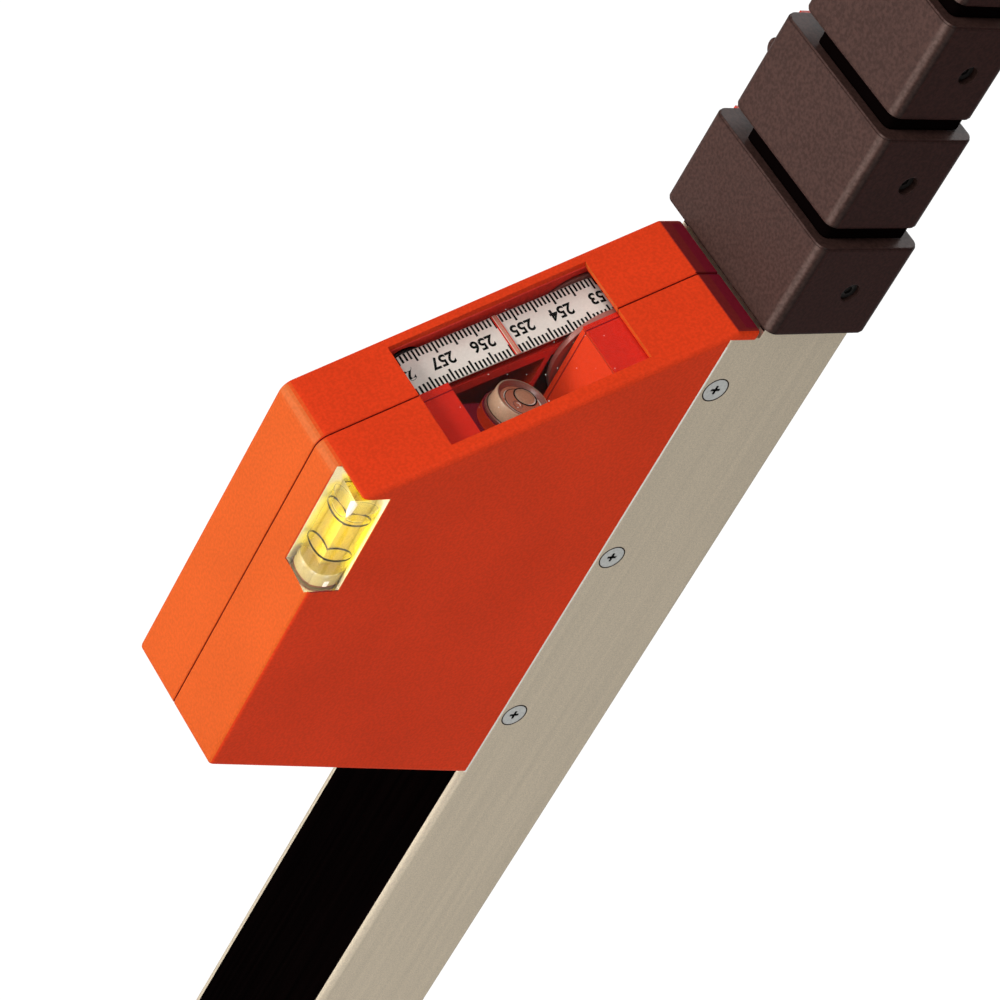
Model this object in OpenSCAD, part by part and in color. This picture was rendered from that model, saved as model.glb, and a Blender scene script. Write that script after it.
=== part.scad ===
// Telescopic measuring rod: a two-chamber base profile, five sliding sections with their collars,
// and a two-part reading housing that holds the tape reel, the guide wheel and two levels.
// +Z runs up the rod, -Y is the side of the reading housing, and Z = 0 is the underside of the foot.

/* [Base profile] */
// Width of the base profile, left to right
profile_w = 36.8; // [35.6:0.2:40]
// Depth of the base profile, front to back
profile_d = 36.4; // [35.6:0.2:40]
// Wall of the base profile
profile_wall = 1.8; // [1.6:0.1:2]
// Rounding of the base profile's corners
profile_r = 1.6; // [1:0.1:1.6]
// Depth of the open tape channel, from the front to the web
channel_d = 10.7; // [10.4:0.1:11.4]
// Thickness of the black cover strip over the tape channel
strip_t = 1.6; // [1.2:0.1:2]
// Height of the first collar's underside above the ground
collar_z = 538; // [530:1:640]

/* [Foot] */
// Thickness of the steel foot plate
plate_t = 3; // [2:0.5:4]
// Height of the foot block, from the ground to the rim that holds the profile
foot_h = 30; // [29:0.5:36]
// How far the foot block stands out around the profile
foot_lip = 2.2; // [1.8:0.1:3]
// Depth of the foot block's socket for the profile
foot_socket = 7; // [5:0.5:9]

/* [Sliding sections] */
// Gap between the widest sliding section and the profile's bore, left and right
slide_gap_x = 1; // [0.9:0.05:1.3]
// Gap between the widest sliding section and the profile's bore, front and back
slide_gap_y = 0.4; // [0.35:0.05:0.6]
// Wall of the sliding sections
slide_wall = 1; // [0.8:0.05:1.05]
// Width of the last section
last_w = 13.6; // [13.4:0.1:15]
// How much shallower the next section is on each side, front and back
step_y = 1.4; // [1.4:0.05:1.5]
// How far each section slides out
travel = 468; // [400:1:470]
// Height of the guide shoe under the lower end of each section
shoe_h = 20; // [14:0.5:20]
// Height of the guide shoe's plug inside the section
plug_h = 8; // [5:0.5:8]
// Rounding of the sections' corners
slide_r = 1.5; // [1.2:0.1:2]

/* [Collars] */
// How far the first collar stands out around the profile, left and right
collar_over_x = 2.2; // [2:0.1:3.2]
// How far the first collar stands out around the profile's rear chamber, front and back
collar_over_y = 2.35; // [2.2:0.05:3]
// How much further a collar stands out on the left, where its lock lever sits
collar_left = 6.4; // [5:0.2:8]
// Height of a collar without its neck
collar_h = 26; // [24:0.5:30]
// Height of the dark neck under each upper collar
neck_h = 4; // [3:0.5:6]
// How far the neck stands back from the collar's faces
neck_back = 1.2; // [0.8:0.1:1.3]
// Rounding of the collars' upright edges
collar_r = 3; // [2:0.1:3.4]
// Depth of a collar's socket over the tube that carries it
collar_socket = 17; // [16.5:0.5:17.5]
// Height of the side screws above a collar's underside
collar_screw_z = 12.7; // [10:0.1:13]
// Radius of the screw hole in a collar's side
collar_hole_r = 2.5; // [2:0.1:3]
// Height of the end cap on the last section, above its neck
cap_h = 12; // [10:1:20]

/* [Lock levers] */
// Width of a lock lever
lever_w = 9; // [7:0.5:10]
// Height of a lock lever
lever_h = 20; // [18:0.5:20.5]
// Thickness of a lock lever
lever_t = 2.6; // [2.2:0.1:3]
// Radius of a lock lever's pin
lever_pin_r = 1; // [0.8:0.1:1.2]
// Thickness of the lever's brackets on the collar
bracket_t = 2.2; // [1.8:0.1:3]

/* [Housing] */
// How far the housing stands out past each side of the profile
body_over = 0.6; // [0.4:0.1:1.6]
// How far the housing stands out in front of the profile
body_d = 80.4; // [78:0.2:92]
// Height of the housing's front face
body_front = 85; // [82:0.5:96]
// How much higher the front lower edge is than the back lower edge
body_drop = 12; // [8:0.5:14]
// Angle between the slanted face and the rod
slant_angle = 59.5; // [58:0.25:61]
// Wall of the housing
body_wall = 2; // [1.8:0.1:2.4]
// Rounding between the front and the slanted face
nose_r = 4.5; // [3:0.5:6]
// Rounding of the housing's long edges
edge_r = 1.3; // [0.8:0.1:1.6]
// Place of the seam between the two shells, from the rod's middle plane
seam_x = -0.7; // [-1.5:0.1:0.5]
// Width of the groove at the seam
seam_gap = 0.2; // [0.1:0.05:0.3]
// How far the top flange reaches back over the tape channel
flange_d = 8.2; // [7:0.1:9]
// Thickness of the top flange
flange_t = 2.1; // [1.6:0.1:3]
// Gap between the housing's top and the first collar
top_gap = 0.6; // [0.4:0.1:1]

/* [Window] */
// Start of the window, along the slanted face from its lower edge
window_from = 25; // [24:0.5:26]
// How far the window reaches past the guide wheel's axle
window_over = 2; // [1:0.1:2.4]
// Width of the rim at the window's left side
rim_left = 3; // [2.6:0.1:4]
// Width of the rim at the window's right side
rim_right = 4; // [3.4:0.1:6]
// Thickness of the clear pane
pane_t = 1.2; // [1:0.1:1.6]
// Length of the seat under each end of the pane, inside the window
seat_l = 8.2; // [5:0.1:9]

/* [Tape and wheels] */
// Width of the tape
tape_w = 12.2; // [10:0.1:12.6]
// Thickness of the tape
tape_t = 0.3; // [0.2:0.05:0.4]
// Gap between the tape and the channel's left wall
tape_side = 0.2; // [0.1:0.05:0.8]
// Depth of the tape in the channel, behind the profile's front
channel_tape = 4.12; // [3.8:0.02:4.6]
// Depth of the tape under the slanted face at its lower end
tape_low = 5; // [4.6:0.1:5.6]
// Depth of the tape under the slanted face at its upper end
tape_high = 6.5; // [6:0.1:7]
// Radius of the guide wheel's seat
wheel_r = 12; // [11:0.1:12.4]
// Radius of the guide wheel's left flange
flange_r = 13.4; // [12.8:0.1:13.8]
// Radius of the guide wheel's right flange, seen through the window
wide_flange_r = 15; // [13.4:0.1:15.2]
// Radius of the guide roller under the window's lower end
roller_r = 4; // [3.6:0.1:4.6]
// Place of the guide roller along the slanted face
roller_at = 29; // [28:0.25:30]
// Gap between the reel's flanges and the profile's front
reel_back = 6; // [4:0.5:8]
// Distance of the reel's flanges behind the outside of the front face
reel_front = 10.4; // [8:0.2:12]
// Height of the reel's axle above the housing's back lower edge
reel_z = 50; // [49:0.5:54]
// Radius of the reel's hub
hub_r = 15; // [12:0.5:18]
// Radius of the tape wound on the reel
wound_r = 26; // [22:0.5:27]
// Radius of the wheels' pins
pin_r = 2; // [1.6:0.1:2.2]

/* [Levels] */
// Width of the block level on the housing's side and front
vial_w = 10.8; // [9.6:0.1:11.4]
// Depth of the block level behind the front face
vial_d = 8.7; // [8.2:0.1:9.6]
// Height of the block level
vial_h = 28.4; // [26:0.2:30]
// Height of the block level's lower end above the housing's back lower edge
vial_z = 69; // [67:0.2:70]
// How much deeper the block level is behind the housing's side wall
vial_step = 1.6; // [1.4:0.1:2.2]
// How far the block level's corner stands out of the front face
vial_proud = 0.9; // [0.5:0.1:1.2]
// Radius of the block level's tube
tube_r = 4.3; // [3.6:0.05:4.35]
// Length of the block level's tube
tube_l = 19.2; // [16:0.2:22]
// Depth of the round level's top under the slanted face
level_deep = 7.35; // [7:0.05:8.4]
// Radius of the round level
level_r = 6.9; // [6:0.1:7.1]
// Height of the round level above its rim
level_h = 3.4; // [3:0.1:5]

/* [Screws] */
// Height of the lowest housing screw above the housing's back lower edge
screw_from = 19.4; // [17:0.2:22]
// Distance between the housing screws
screw_pitch = 53.9; // [50:0.1:54.5]
// Distance of the housing screws behind the profile's front
screw_back = 5.5; // [5:0.1:6]
// Radius of a housing screw's head
head_r = 3.2; // [2.8:0.1:3.4]

/* [Hidden] */
$fn = 48;
eps = 0.01;
seat = 0.05;
run = 0.05;
slip = 0.3;

front_y = -profile_d / 2;
tube_y = front_y + channel_d + (profile_d - channel_d) / 2;
chamber_w = profile_w - 2 * profile_wall;
chamber_d = profile_d - channel_d - 2 * profile_wall;
slide_w = chamber_w - 2 * slide_gap_x;
slide_d = chamber_d - 2 * slide_gap_y;
// how much narrower the next section is on each side
step_x = (slide_w - last_w) / 8;
collar_w = profile_w + 2 * collar_over_x;
collar_d = profile_d - channel_d + 2 * collar_over_y;
body_t = profile_w + 2 * body_over;
tube_top = collar_socket - seat;
pitch = collar_h + neck_h;
slant_over = 1.8;
body_top = body_drop + body_front + (body_d + slant_over) / tan(slant_angle);
body_z = collar_z - top_gap - body_top;
half_t = body_t / 2;
in_x = half_t - body_wall;
notch_y = flange_d + 1.1;
notch_z = flange_t + top_gap + 0.2;
cap_socket = cap_h - 4;

function tube_size(k) = k == 1 ? [chamber_w + 2 * profile_wall, profile_d - channel_d]
    : [slide_w - (k - 2) * 2 * step_x, slide_d - (k - 2) * 2 * step_y];
function bore_size(k) = k == 1 ? [chamber_w, chamber_d]
    : [tube_size(k)[0] - 2 * slide_wall, tube_size(k)[1] - 2 * slide_wall];
function collar_size(k) = [collar_w - (k - 1) * 2 * step_x, collar_d - (k - 1) * 2 * step_y];
function collar_at(k) = collar_z + (k - 1) * pitch;
// Lower end of a section: its guide shoe meets the collar below after the whole travel
function section_z(k) = collar_at(k - 1) + collar_socket - slip - travel;

tilt = 90 - slant_angle;
wheel_deep = tape_high + tape_t + run + wheel_r;
// place of the guide wheel along the slanted face, so that the tape runs off it into the channel
wheel_at = (channel_tape - wheel_r - run + body_d - wheel_deep * sin(tilt)) / cos(tilt);
slope = atan((tape_high - tape_low) / (wheel_at - roller_at));
window_l = wheel_at + window_over - window_from;
window_x0 = -half_t + rim_left;
window_x1 = half_t - rim_right;
reel_r = (body_d - reel_back - reel_front) / 2;
reel_y = reel_back + reel_r;
tape_x0 = -chamber_w / 2 + tape_side;
roller_deep = tape_low + tape_t + run + roller_r;
function on_slant(s, n) = [-body_d + s * cos(tilt) - n * sin(tilt),
    body_drop + body_front + s * sin(tilt) + n * cos(tilt)];
wheel_c = on_slant(wheel_at, -wheel_deep);
roller_c = on_slant(roller_at, -roller_deep);
reel_c = [-reel_y, reel_z];
tape_x1 = tape_x0 + tape_w;
// tape in the channel, counted from the profile's front, and the roller that turns it up again
channel_y = wheel_c[0] + wheel_r + run;
tape_y0 = front_y + channel_y;
return_r = (tube_y - tape_y0 - tape_t / 2) / 2 - run - tape_t / 2;
return_c = [(tape_y0 + tape_t / 2 + tube_y) / 2, plate_t + 1.4 + return_r + tape_t];
vial_top = vial_z + vial_h;
level_c = on_slant(window_from + 0.4392 * window_l, -level_deep);

// Flat outline helpers

module round_rect(size, r) {
    square([size[0] - 2 * r, size[1]], center = true);
    square([size[0], size[1] - 2 * r], center = true);
    for (i = [-1, 1], j = [-1, 1])
        translate([i * (size[0] / 2 - r), j * (size[1] / 2 - r)])
            circle(r);
}

// Extrudes an outline of the Y-Z plane from x0 to x1
module across(x0, x1) {
    translate([x0, 0, 0])
        rotate([90, 0, 90])
            linear_extrude(height = x1 - x0)
                children();
}

// A cylinder along X at a place of the Y-Z plane
module rod_x(c, r, x0, x1) {
    translate([x0, c[0], c[1]])
        rotate([0, 90, 0])
            cylinder(r = r, h = x1 - x0);
}

// Moves an outline to the slanted face: X runs up the face and Y out of it
module slanted() {
    translate(on_slant(0, 0))
        rotate(tilt)
            children();
}

// A rectangle under the slanted face, from s0 to s1 and from depth d0 to d1
module under_slant(s0, s1, d0, d1) {
    slanted()
        translate([s0, -d1])
            square([s1 - s0, d1 - d0]);
}

module in_housing() {
    translate([0, front_y, body_z])
        children();
}

// Housing outline with each corner rounded, drawn inwards by e

corner_p = [[flange_d, -flange_d * body_drop / body_d], [-body_d, body_drop],
    [-body_d, body_drop + body_front], [slant_over, body_top], [flange_d, body_top]];
corner_r = [0.4, 1.3, nose_r, 0.9, 0.4];

function unit(v) = v / norm(v);
function turn(v) = [v[1], -v[0]];
// Corner i moved inwards by e from both of its edges
function inset_corner(i, e) = let(
    n = len(corner_p),
    p = corner_p[i],
    a = unit(p - corner_p[(i + n - 1) % n]),
    b = unit(corner_p[(i + 1) % n] - p),
    na = turn(a),
    nb = turn(b))
    p + e * (na + nb) / (1 + na * nb);
function corner_arc(i, e) = let(
    n = len(corner_p),
    p = inset_corner(i, e),
    a = unit(corner_p[i] - corner_p[(i + n - 1) % n]),
    b = unit(corner_p[(i + 1) % n] - corner_p[i]),
    na = turn(a),
    nb = turn(b),
    r = max(corner_r[i] - e, 0.05),
    c = p + r * (na + nb) / (1 + na * nb),
    full = acos(na * nb),
    steps = i == 2 ? 6 : i == 3 ? 2 : 3)
    [for (k = [0:steps])
        let(t = full * k / steps, u = cos(t) * na - sin(t) * a) c - r * u];
function outline(e) = [for (i = [0:len(corner_p) - 1]) each corner_arc(i, e)];

// One slice of the housing's outside from x0 to x1, drawn inwards by e
module slice(x0, x1, e) {
    across(min(x0, x1), max(x0, x1))
        polygon(outline(e));
}

// Outside of the shell on one side, from the seam to the outer face
module shell_outside(side) {
    inner = side * (side * seam_x + seam_gap / 2);
    hull() {
        slice(inner, inner + side * eps, 0.25);
        slice(inner + side * 0.3, side * (half_t - edge_r), 0);
        for (t = [22.5:22.5:90])
            slice(side * (half_t - edge_r * (1 - sin(t))), side * (half_t - edge_r * (1 - sin(t)) - eps),
                edge_r * (1 - cos(t)));
    }
}

// Space that what stands inside the shells may fill, up to the middle of their walls
module inner_space() {
    across(-half_t + 0.9, half_t - 0.9)
        polygon(outline(0.9));
}

// Room inside the shells
module shell_room(side) {
    x0 = side > 0 ? seam_x - 1 : -in_x;
    x1 = side > 0 ? in_x : seam_x + 1;
    across(x0, x1)
        difference() {
            polygon(outline(body_wall));
            translate([-body_d, body_top - flange_t])
                square([2 * body_d, 10]);
        }
}

// The room behind the profile's front, which the channel takes up below the top flange
module behind_front() {
    translate([-body_t, 0, -body_drop])
        cube([2 * body_t, profile_d, body_top - flange_t + body_drop]);
}

// Places of the screws that hold the shells together
join_points = [[-body_d + 8, 2 * body_drop], [-7, 9.5], [-body_d + 14.9, body_drop + body_front + 0.5],
    [-3.4, body_top - 8.4]];
screw_heights = [for (i = [0:2]) screw_from + i * screw_pitch];

module join_bosses(x0, x1, r) {
    for (p = join_points)
        rod_x(p, r, x0, x1);
}

// The tongue of the right shell reaches into the profile's channel and takes the housing screws
module tongue() {
    x1 = chamber_w / 2 - seat;
    translate([x1 - 2.6, -3, 2.5])
        cube([2.6, 3 + channel_d - 1, body_top - flange_t - 4]);
    // ribs that tie the tongue to the shell's side wall in front of the profile
    for (z = screw_heights)
        translate([x1 - 2.6, -2.6, z - 4])
            cube([in_x + 0.5 - x1 + 2.6, 2.4, 8]);
}

// The left shell only has a thin lip in front of the tape
module lip() {
    x0 = -chamber_w / 2 + seat;
    translate([x0, -2.6, 2.5])
        cube([1.2, 2.6 + channel_y - 0.6, body_drop + body_front - 1]);
    for (z = [body_drop, body_drop + body_front / 2 - 2.5, body_front + 3])
        translate([-in_x - 0.5, -2.6, z])
            cube([in_x + 0.5 + x0 + 0.6, 2.4, 6]);
}

module screw_holes(r) {
    for (z = screw_heights)
        rod_x([screw_back, z], r, chamber_w / 2 - 6.6, body_t);
}

// Pocket and opening for the block level at the front right edge
module vial_pocket(grow) {
    translate([half_t - vial_w - grow, -body_d - 5, vial_z - grow])
        cube([vial_w + 5 + grow, vial_d + 5 + seat, vial_h + 2 * grow]);
    translate([half_t - vial_w - grow, -body_d - 5, vial_z - grow])
        cube([vial_w - body_wall + grow, vial_d + vial_step + 5 + grow, vial_h + 2 * grow]);
}

module window_cut() {
    across(window_x0, window_x1)
        under_slant(window_from, window_from + window_l, -3, body_wall + 1);
}

module shell_right() {
    color([0.86, 0.22, 0.1])
        in_housing()
            difference() {
                union() {
                    difference() {
                        shell_outside(1);
                        shell_room(1);
                        behind_front();
                    }
                    tongue();
                    intersection() {
                        right_inside();
                        inner_space();
                    }
                }
                window_cut();
                screw_holes(1.3);
                vial_pocket(0.2);
                join_bosses(seam_x - 1, in_x - 1, 1.1);
                rod_x(wheel_c, pin_r + 0.01, seam_x - 3, in_x - 1);
                rod_x(roller_c, pin_r + 0.01, seam_x - 4, in_x - 1);
                rod_x(reel_c, pin_r + 0.01, seam_x - 2, in_x + 0.8);
            }
}

// What stands inside the right shell: pane seats, end wall, level shelf, pocket walls and bosses
module right_inside() {
    // pane seats at both ends of the window
    across(tape_x1 + 1.2, in_x + 0.5)
        under_slant(window_from - 4, window_from + seat_l, body_wall + pane_t + seat, body_wall + pane_t + 3);
    across(end_x0, in_x + 0.5)
        under_slant(window_from + window_l - seat_l, window_from + window_l + 4, body_wall + pane_t + seat,
            body_wall + pane_t + 3);
    // upright wall under the upper pane seat
    translate([end_x0, end_wall[0] + 0.3, level_c[1] - 12])
        cube([in_x + 0.5 - end_x0, 2, end_wall[1] - level_c[1] + 11.3]);
    // shelf and socket of the round level
    translate([shelf_x0, level_c[0] - 10, level_c[1] - level_h - 6.8])
        cube([in_x + 0.5 - shelf_x0, end_wall[0] - level_c[0] + 11, 2.4]);
    translate([level_x, level_c[0], level_c[1] - level_h - 4.6])
        difference() {
            cylinder(r = level_r + 0.9, h = 3.2 - seat);
            translate([0, 0, 0.4])
                cylinder(r = level_r - 1 + seat, h = 4);
        }
    // walls around the pocket of the block level
    translate([half_t - vial_w - 1.8, -body_d + 0.6, vial_z - 1.8])
        cube([vial_w + 1.2, vial_d + vial_step + 1.5, vial_h + 4.8]);
    join_bosses(seam_x + seam_gap / 2, in_x + 0.5, 3);
    // bearings of the three pins
    rod_x(wheel_c, 4.5, tape_x1 + 2.4, in_x + 0.5);
    rod_x(roller_c, 3.8, tape_x1 + 1.2, in_x + 0.5);
    rod_x(reel_c, 5, barrel_x1 + 3, in_x + 0.5);
}
level_x = window_x1 - 8.6;
end_x0 = tape_x1 + 2;
shelf_x0 = seam_x + 0.2;
end_wall = on_slant(window_from + window_l - seat_l, -(body_wall + pane_t + seat));

module shell_left() {
    color([0.86, 0.22, 0.1])
        in_housing()
            difference() {
                union() {
                    difference() {
                        shell_outside(-1);
                        shell_room(-1);
                        behind_front();
                    }
                    lip();
                    intersection() {
                        union() {
                            join_bosses(-in_x - 0.5, seam_x - seam_gap / 2, 3);
                            tape_rail();
                        }
                        inner_space();
                    }
                }
                window_cut();
                join_bosses(-half_t - 1, seam_x + 1, 1.4);
                join_bosses(-half_t - 1, -half_t + 2.2, 2.9);
                // shallow rounds that give the wheels' flanges their room
                rod_x(wheel_c, flange_r + 0.6, -in_x - 0.7, -in_x + 1);
                rod_x(roller_c, roller_r + 1.2, -in_x - 0.7, -in_x + 1);
                rod_x(reel_c, reel_r + 0.8, -in_x - 0.7, -in_x + 1);
                rod_x(wheel_c, pin_r + 0.01, -in_x - 1.4, -in_x + 1);
                rod_x(roller_c, pin_r + 0.01, -in_x - 1.4, -in_x + 1);
                rod_x(reel_c, pin_r + 0.01, -in_x - 1.4, -in_x + 1);
            }
}

// Countersunk screw along X with the face of its head at x = 0
module countersunk(head, shank, length) {
    rotate([0, -90, 0])
        difference() {
            union() {
                cylinder(r1 = head, r2 = shank, h = head - shank);
                cylinder(r = shank, h = length);
            }
            // cross recess
            for (a = [0, 90])
                rotate(a)
                    translate([-head * 0.42, -head * 0.12, -1])
                        cube([head * 0.84, head * 0.24, 1 + head * 0.3]);
        }
}

module profile_screws() {
    color([0.6, 0.6, 0.58])
        in_housing()
            for (z = screw_heights)
                translate([profile_w / 2, screw_back, z])
                    countersunk(head_r, 1.25, 6);
}

module shell_screws() {
    color([0.5, 0.5, 0.5])
        in_housing()
            for (p = join_points)
                translate([-half_t + 0.6, p[0], p[1]])
                    mirror([1, 0, 0])
                        rotate([0, -90, 0])
                            difference() {
                                union() {
                                    cylinder(r = 2.7, h = 1.5);
                                    cylinder(r = 1.05, h = half_t + in_x - 4);
                                }
                                for (a = [0, 90])
                                    rotate(a)
                                        translate([-1.6, -0.3, -1])
                                            cube([3.2, 0.6, 1.9]);
                            }
}

module window_pane() {
    color([0.85, 0.9, 0.9, 0.35])
        in_housing()
            across(-in_x + seat, window_x1 + 1)
                under_slant(window_from - 3, window_from + window_l + 3, body_wall + 0.02, body_wall + pane_t);
}

// Rail of the left shell that runs along under the tape
rail_from = roller_at + roller_r + 1;
rail_to = wheel_at - 9;
module tape_rail() {
    difference() {
        across(-in_x - 0.5, tape_x1 + 0.1)
            slanted()
                translate([roller_at, -tape_low - tape_t])
                    rotate(-slope)
                        translate([rail_from - roller_at, -4.8])
                            square([rail_to - rail_from, 2.7]);
        rod_x(wheel_c, wheel_r + 0.7, -body_t, body_t);
    }
    // upright rib that carries the rail's upper end, in front of the guide wheel
    translate([-in_x - 0.5, rib_y, level_c[1] - level_h - 6.8])
        cube([in_x + 0.6 + tape_x1, 1.5, rib_top - level_c[1] + level_h + 6.8]);
}
rib_y = wheel_c[0] - wide_flange_r - 1.9;
rib_top = body_drop + body_front + (body_d + rib_y) * tan(tilt) - (tape_low + tape_t + 4.4) / cos(tilt);

// Tape path in the housing: points along the middle of the tape

function arc_points(c, r, a0, a1, n) = [for (i = [0:n]) let(a = a0 + (a1 - a0) * i / n)
    [c[0] + r * cos(a), c[1] + r * sin(a)]];

// Angle of the line that touches the roller and the wound tape on their front sides
reel_gap = roller_c - reel_c;
reel_line = atan2(reel_gap[1], reel_gap[0]);
front_turn = acos((wound_r + 0.4 - roller_r) / norm(reel_gap));
front_angle = reel_line + front_turn;

upper_path = concat(
    [reel_c + (wound_r + 0.4 + tape_t / 2) * [cos(front_angle), sin(front_angle)]],
    arc_points(roller_c, roller_r + run + tape_t / 2, front_angle, 90 + tilt - slope, 10),
    arc_points(wheel_c, wheel_r + run + tape_t / 2, 90 + tilt - slope, 0, 16),
    [[channel_y + tape_t / 2, wheel_c[1] - 3]]);
lower_path = concat(
    [return_c + [-return_r - run - tape_t / 2, 3]],
    arc_points(return_c, return_r + run + tape_t / 2, 180, 360, 16),
    [[tube_y, section_z(6) - shoe_h + 5]]);

// Both sides of a path, half the tape's thickness away from it
function path_normal(path, i) = let(
    a = path[max(i - 1, 0)],
    b = path[min(i + 1, len(path) - 1)])
    [-unit(b - a)[1], unit(b - a)[0]];
function path_side(path, s) = [for (i = [0:len(path) - 1]) path[i] + s * tape_t / 2 * path_normal(path, i)];
function flip(list) = [for (i = [len(list) - 1:-1:0]) list[i]];
module band(path) {
    polygon(concat(path_side(path, 1), flip(path_side(path, -1))));
}

module reading_tape() {
    color([0.85, 0.84, 0.8]) {
        in_housing()
            across(tape_x0, tape_x1)
                band(upper_path);
        across(-tape_w / 2, tape_w / 2)
            band(lower_path);
        // the long run in the channel drifts over to the middle of the rod
        translate([0, tape_y0 + tape_t, 0])
            rotate([90, 0, 0])
                linear_extrude(height = tape_t)
                    polygon([[tape_x0, body_z + wheel_c[1] - 3], [tape_x1, body_z + wheel_c[1] - 3],
                        [tape_w / 2, return_c[1] + 3], [-tape_w / 2, return_c[1] + 3]]);
    }
}

module guide_wheel() {
    color([0.45, 0.33, 0.28])
        in_housing()
            difference() {
                union() {
                    rod_x(wheel_c, wheel_r, tape_x0 - 0.6, tape_x1 + 0.6);
                    rod_x(wheel_c, flange_r, tape_x0 - 1.0, tape_x0 - 0.25);
                    rod_x(wheel_c, wide_flange_r, tape_x1 + 0.25, tape_x1 + 1.6);
                }
                rod_x(wheel_c, pin_r + run, tape_x0 - 3, tape_x1 + 5);
                // four round openings between hub and rim
                for (a = [45:90:315])
                    rod_x(wheel_c + 7.2 * [cos(a), sin(a)], 2.6, tape_x0 - 3, tape_x1 + 5);
            }
}

module guide_roller() {
    color([0.2, 0.2, 0.2])
        in_housing()
            difference() {
                union() {
                    rod_x(roller_c, roller_r, tape_x0 - 0.6, tape_x1 + 0.6);
                    rod_x(roller_c, roller_r + 0.7, tape_x1 + 0.25, tape_x1 + 0.9);
                    rod_x(roller_c, roller_r + 0.7, tape_x0 - 1.0, tape_x0 - 0.25);
                }
                rod_x(roller_c, pin_r + run, tape_x0 - 3, tape_x1 + 5);
            }
}

module guide_wheel_pin() {
    color([0.7, 0.7, 0.72])
        in_housing()
            rod_x(wheel_c, pin_r, -in_x - 1.3, in_x - 1.5);
}

module guide_roller_pin() {
    color([0.7, 0.7, 0.72])
        in_housing()
            rod_x(roller_c, pin_r, -in_x - 1.3, in_x - 1.5);
}

module reel_axle() {
    color([0.7, 0.7, 0.72])
        in_housing()
            rod_x(reel_c, pin_r, -in_x - 1.3, in_x + 0.7);
}

// Drum of the tape, with the spring's barrel on its right side
module tape_reel() {
    color([0.12, 0.12, 0.12])
        in_housing()
            difference() {
                union() {
                    rod_x(reel_c, hub_r, tape_x0 - 0.6, tape_x1 + 0.6);
                    rod_x(reel_c, reel_r, tape_x0 - 1.0, tape_x0 - 0.25);
                    rod_x(reel_c, reel_r, tape_x1 + 0.25, tape_x1 + 1.3);
                    rod_x(reel_c, hub_r + 6, tape_x1 + 1, barrel_x1);
                }
                rod_x(reel_c, pin_r + run, tape_x0 - 3, barrel_x1 + 3);
                rod_x(reel_c, hub_r + 4.4, tape_x1 + 2.4, barrel_x1 + 1);
                for (a = [0:60:300])
                    rod_x(reel_c + (reel_r + hub_r + 6) / 2 * [cos(a), sin(a)], 3, tape_x1 - 0.2, barrel_x1);
            }
}
barrel_x1 = in_x - 9;

module wound_tape() {
    color([0.85, 0.84, 0.8])
        in_housing()
            difference() {
                rod_x(reel_c, wound_r, tape_x0 + 0.1, tape_x1 - 0.1);
                rod_x(reel_c, hub_r + 0.05, tape_x0 - 1, tape_x1 + 1);
            }
}

// Flat return spring, wound as a spiral inside the reel's barrel
spring_turns = 5;
spring_in = 4.5;
spring_out = hub_r + 3.6;
function spiral_point(t, off) = let(
    r = spring_in + (spring_out - spring_in) * t + off,
    a = 360 * spring_turns * t)
    [r * cos(a), r * sin(a)];

module return_spring() {
    n = spring_turns * 20;
    color([0.35, 0.37, 0.4])
        in_housing()
            translate([0, reel_c[0], reel_c[1]])
                difference() {
                    union() {
                        across(tape_x1 + 3, barrel_x1 - 0.6)
                            polygon(concat([for (i = [0:n]) spiral_point(i / n, 0)],
                                [for (i = [n:-1:0]) spiral_point(i / n, 0.5)]));
                        rod_x([0, 0], spring_in + 0.3, tape_x1 + 3, barrel_x1 + 3);
                    }
                    rod_x([0, 0], pin_r + 0.01, tape_x1, barrel_x1 + 4);
                }
}

module vial_block() {
    color([0.95, 0.95, 0.85, 0.35])
        in_housing()
            difference() {
                union() {
                    translate([half_t - vial_w, -body_d, vial_z])
                        linear_extrude(height = vial_h)
                            polygon([[0, 0.15], [vial_w - 0.15, -vial_proud], [vial_w - 0.15, vial_d], [0, vial_d]]);
                    translate([half_t - vial_w, -body_d + 3, vial_z])
                        cube([vial_w - body_wall - 0.1, vial_d + vial_step - 3, vial_h]);
                }
                translate([vial_c[0], vial_c[1], vial_c[2]])
                    cylinder(r = tube_r, h = tube_l);
            }
}
vial_c = [half_t - vial_w / 2 - 0.4, -body_d + 4.9, vial_z + (vial_h - tube_l) / 2 - 0.4];

module vial_liquid() {
    color([0.95, 0.85, 0.1])
        in_housing()
            translate([vial_c[0], vial_c[1], vial_c[2] + seat])
                cylinder(r = tube_r - seat, h = tube_l - 2 * seat);
}

module round_level() {
    color([0.7, 0.6, 0.5, 0.5])
        in_housing()
            translate([level_x, level_c[0], level_c[1] - level_h])
                union() {
                    cylinder(r = level_r, h = level_h);
                    translate([0, 0, -1.4])
                        cylinder(r = level_r + 0.8, h = 1.4);
                    translate([0, 0, -4])
                        cylinder(r = level_r - 1, h = 3);
                }
}

// Base profile: two chambers, the front one open for the tape

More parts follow.
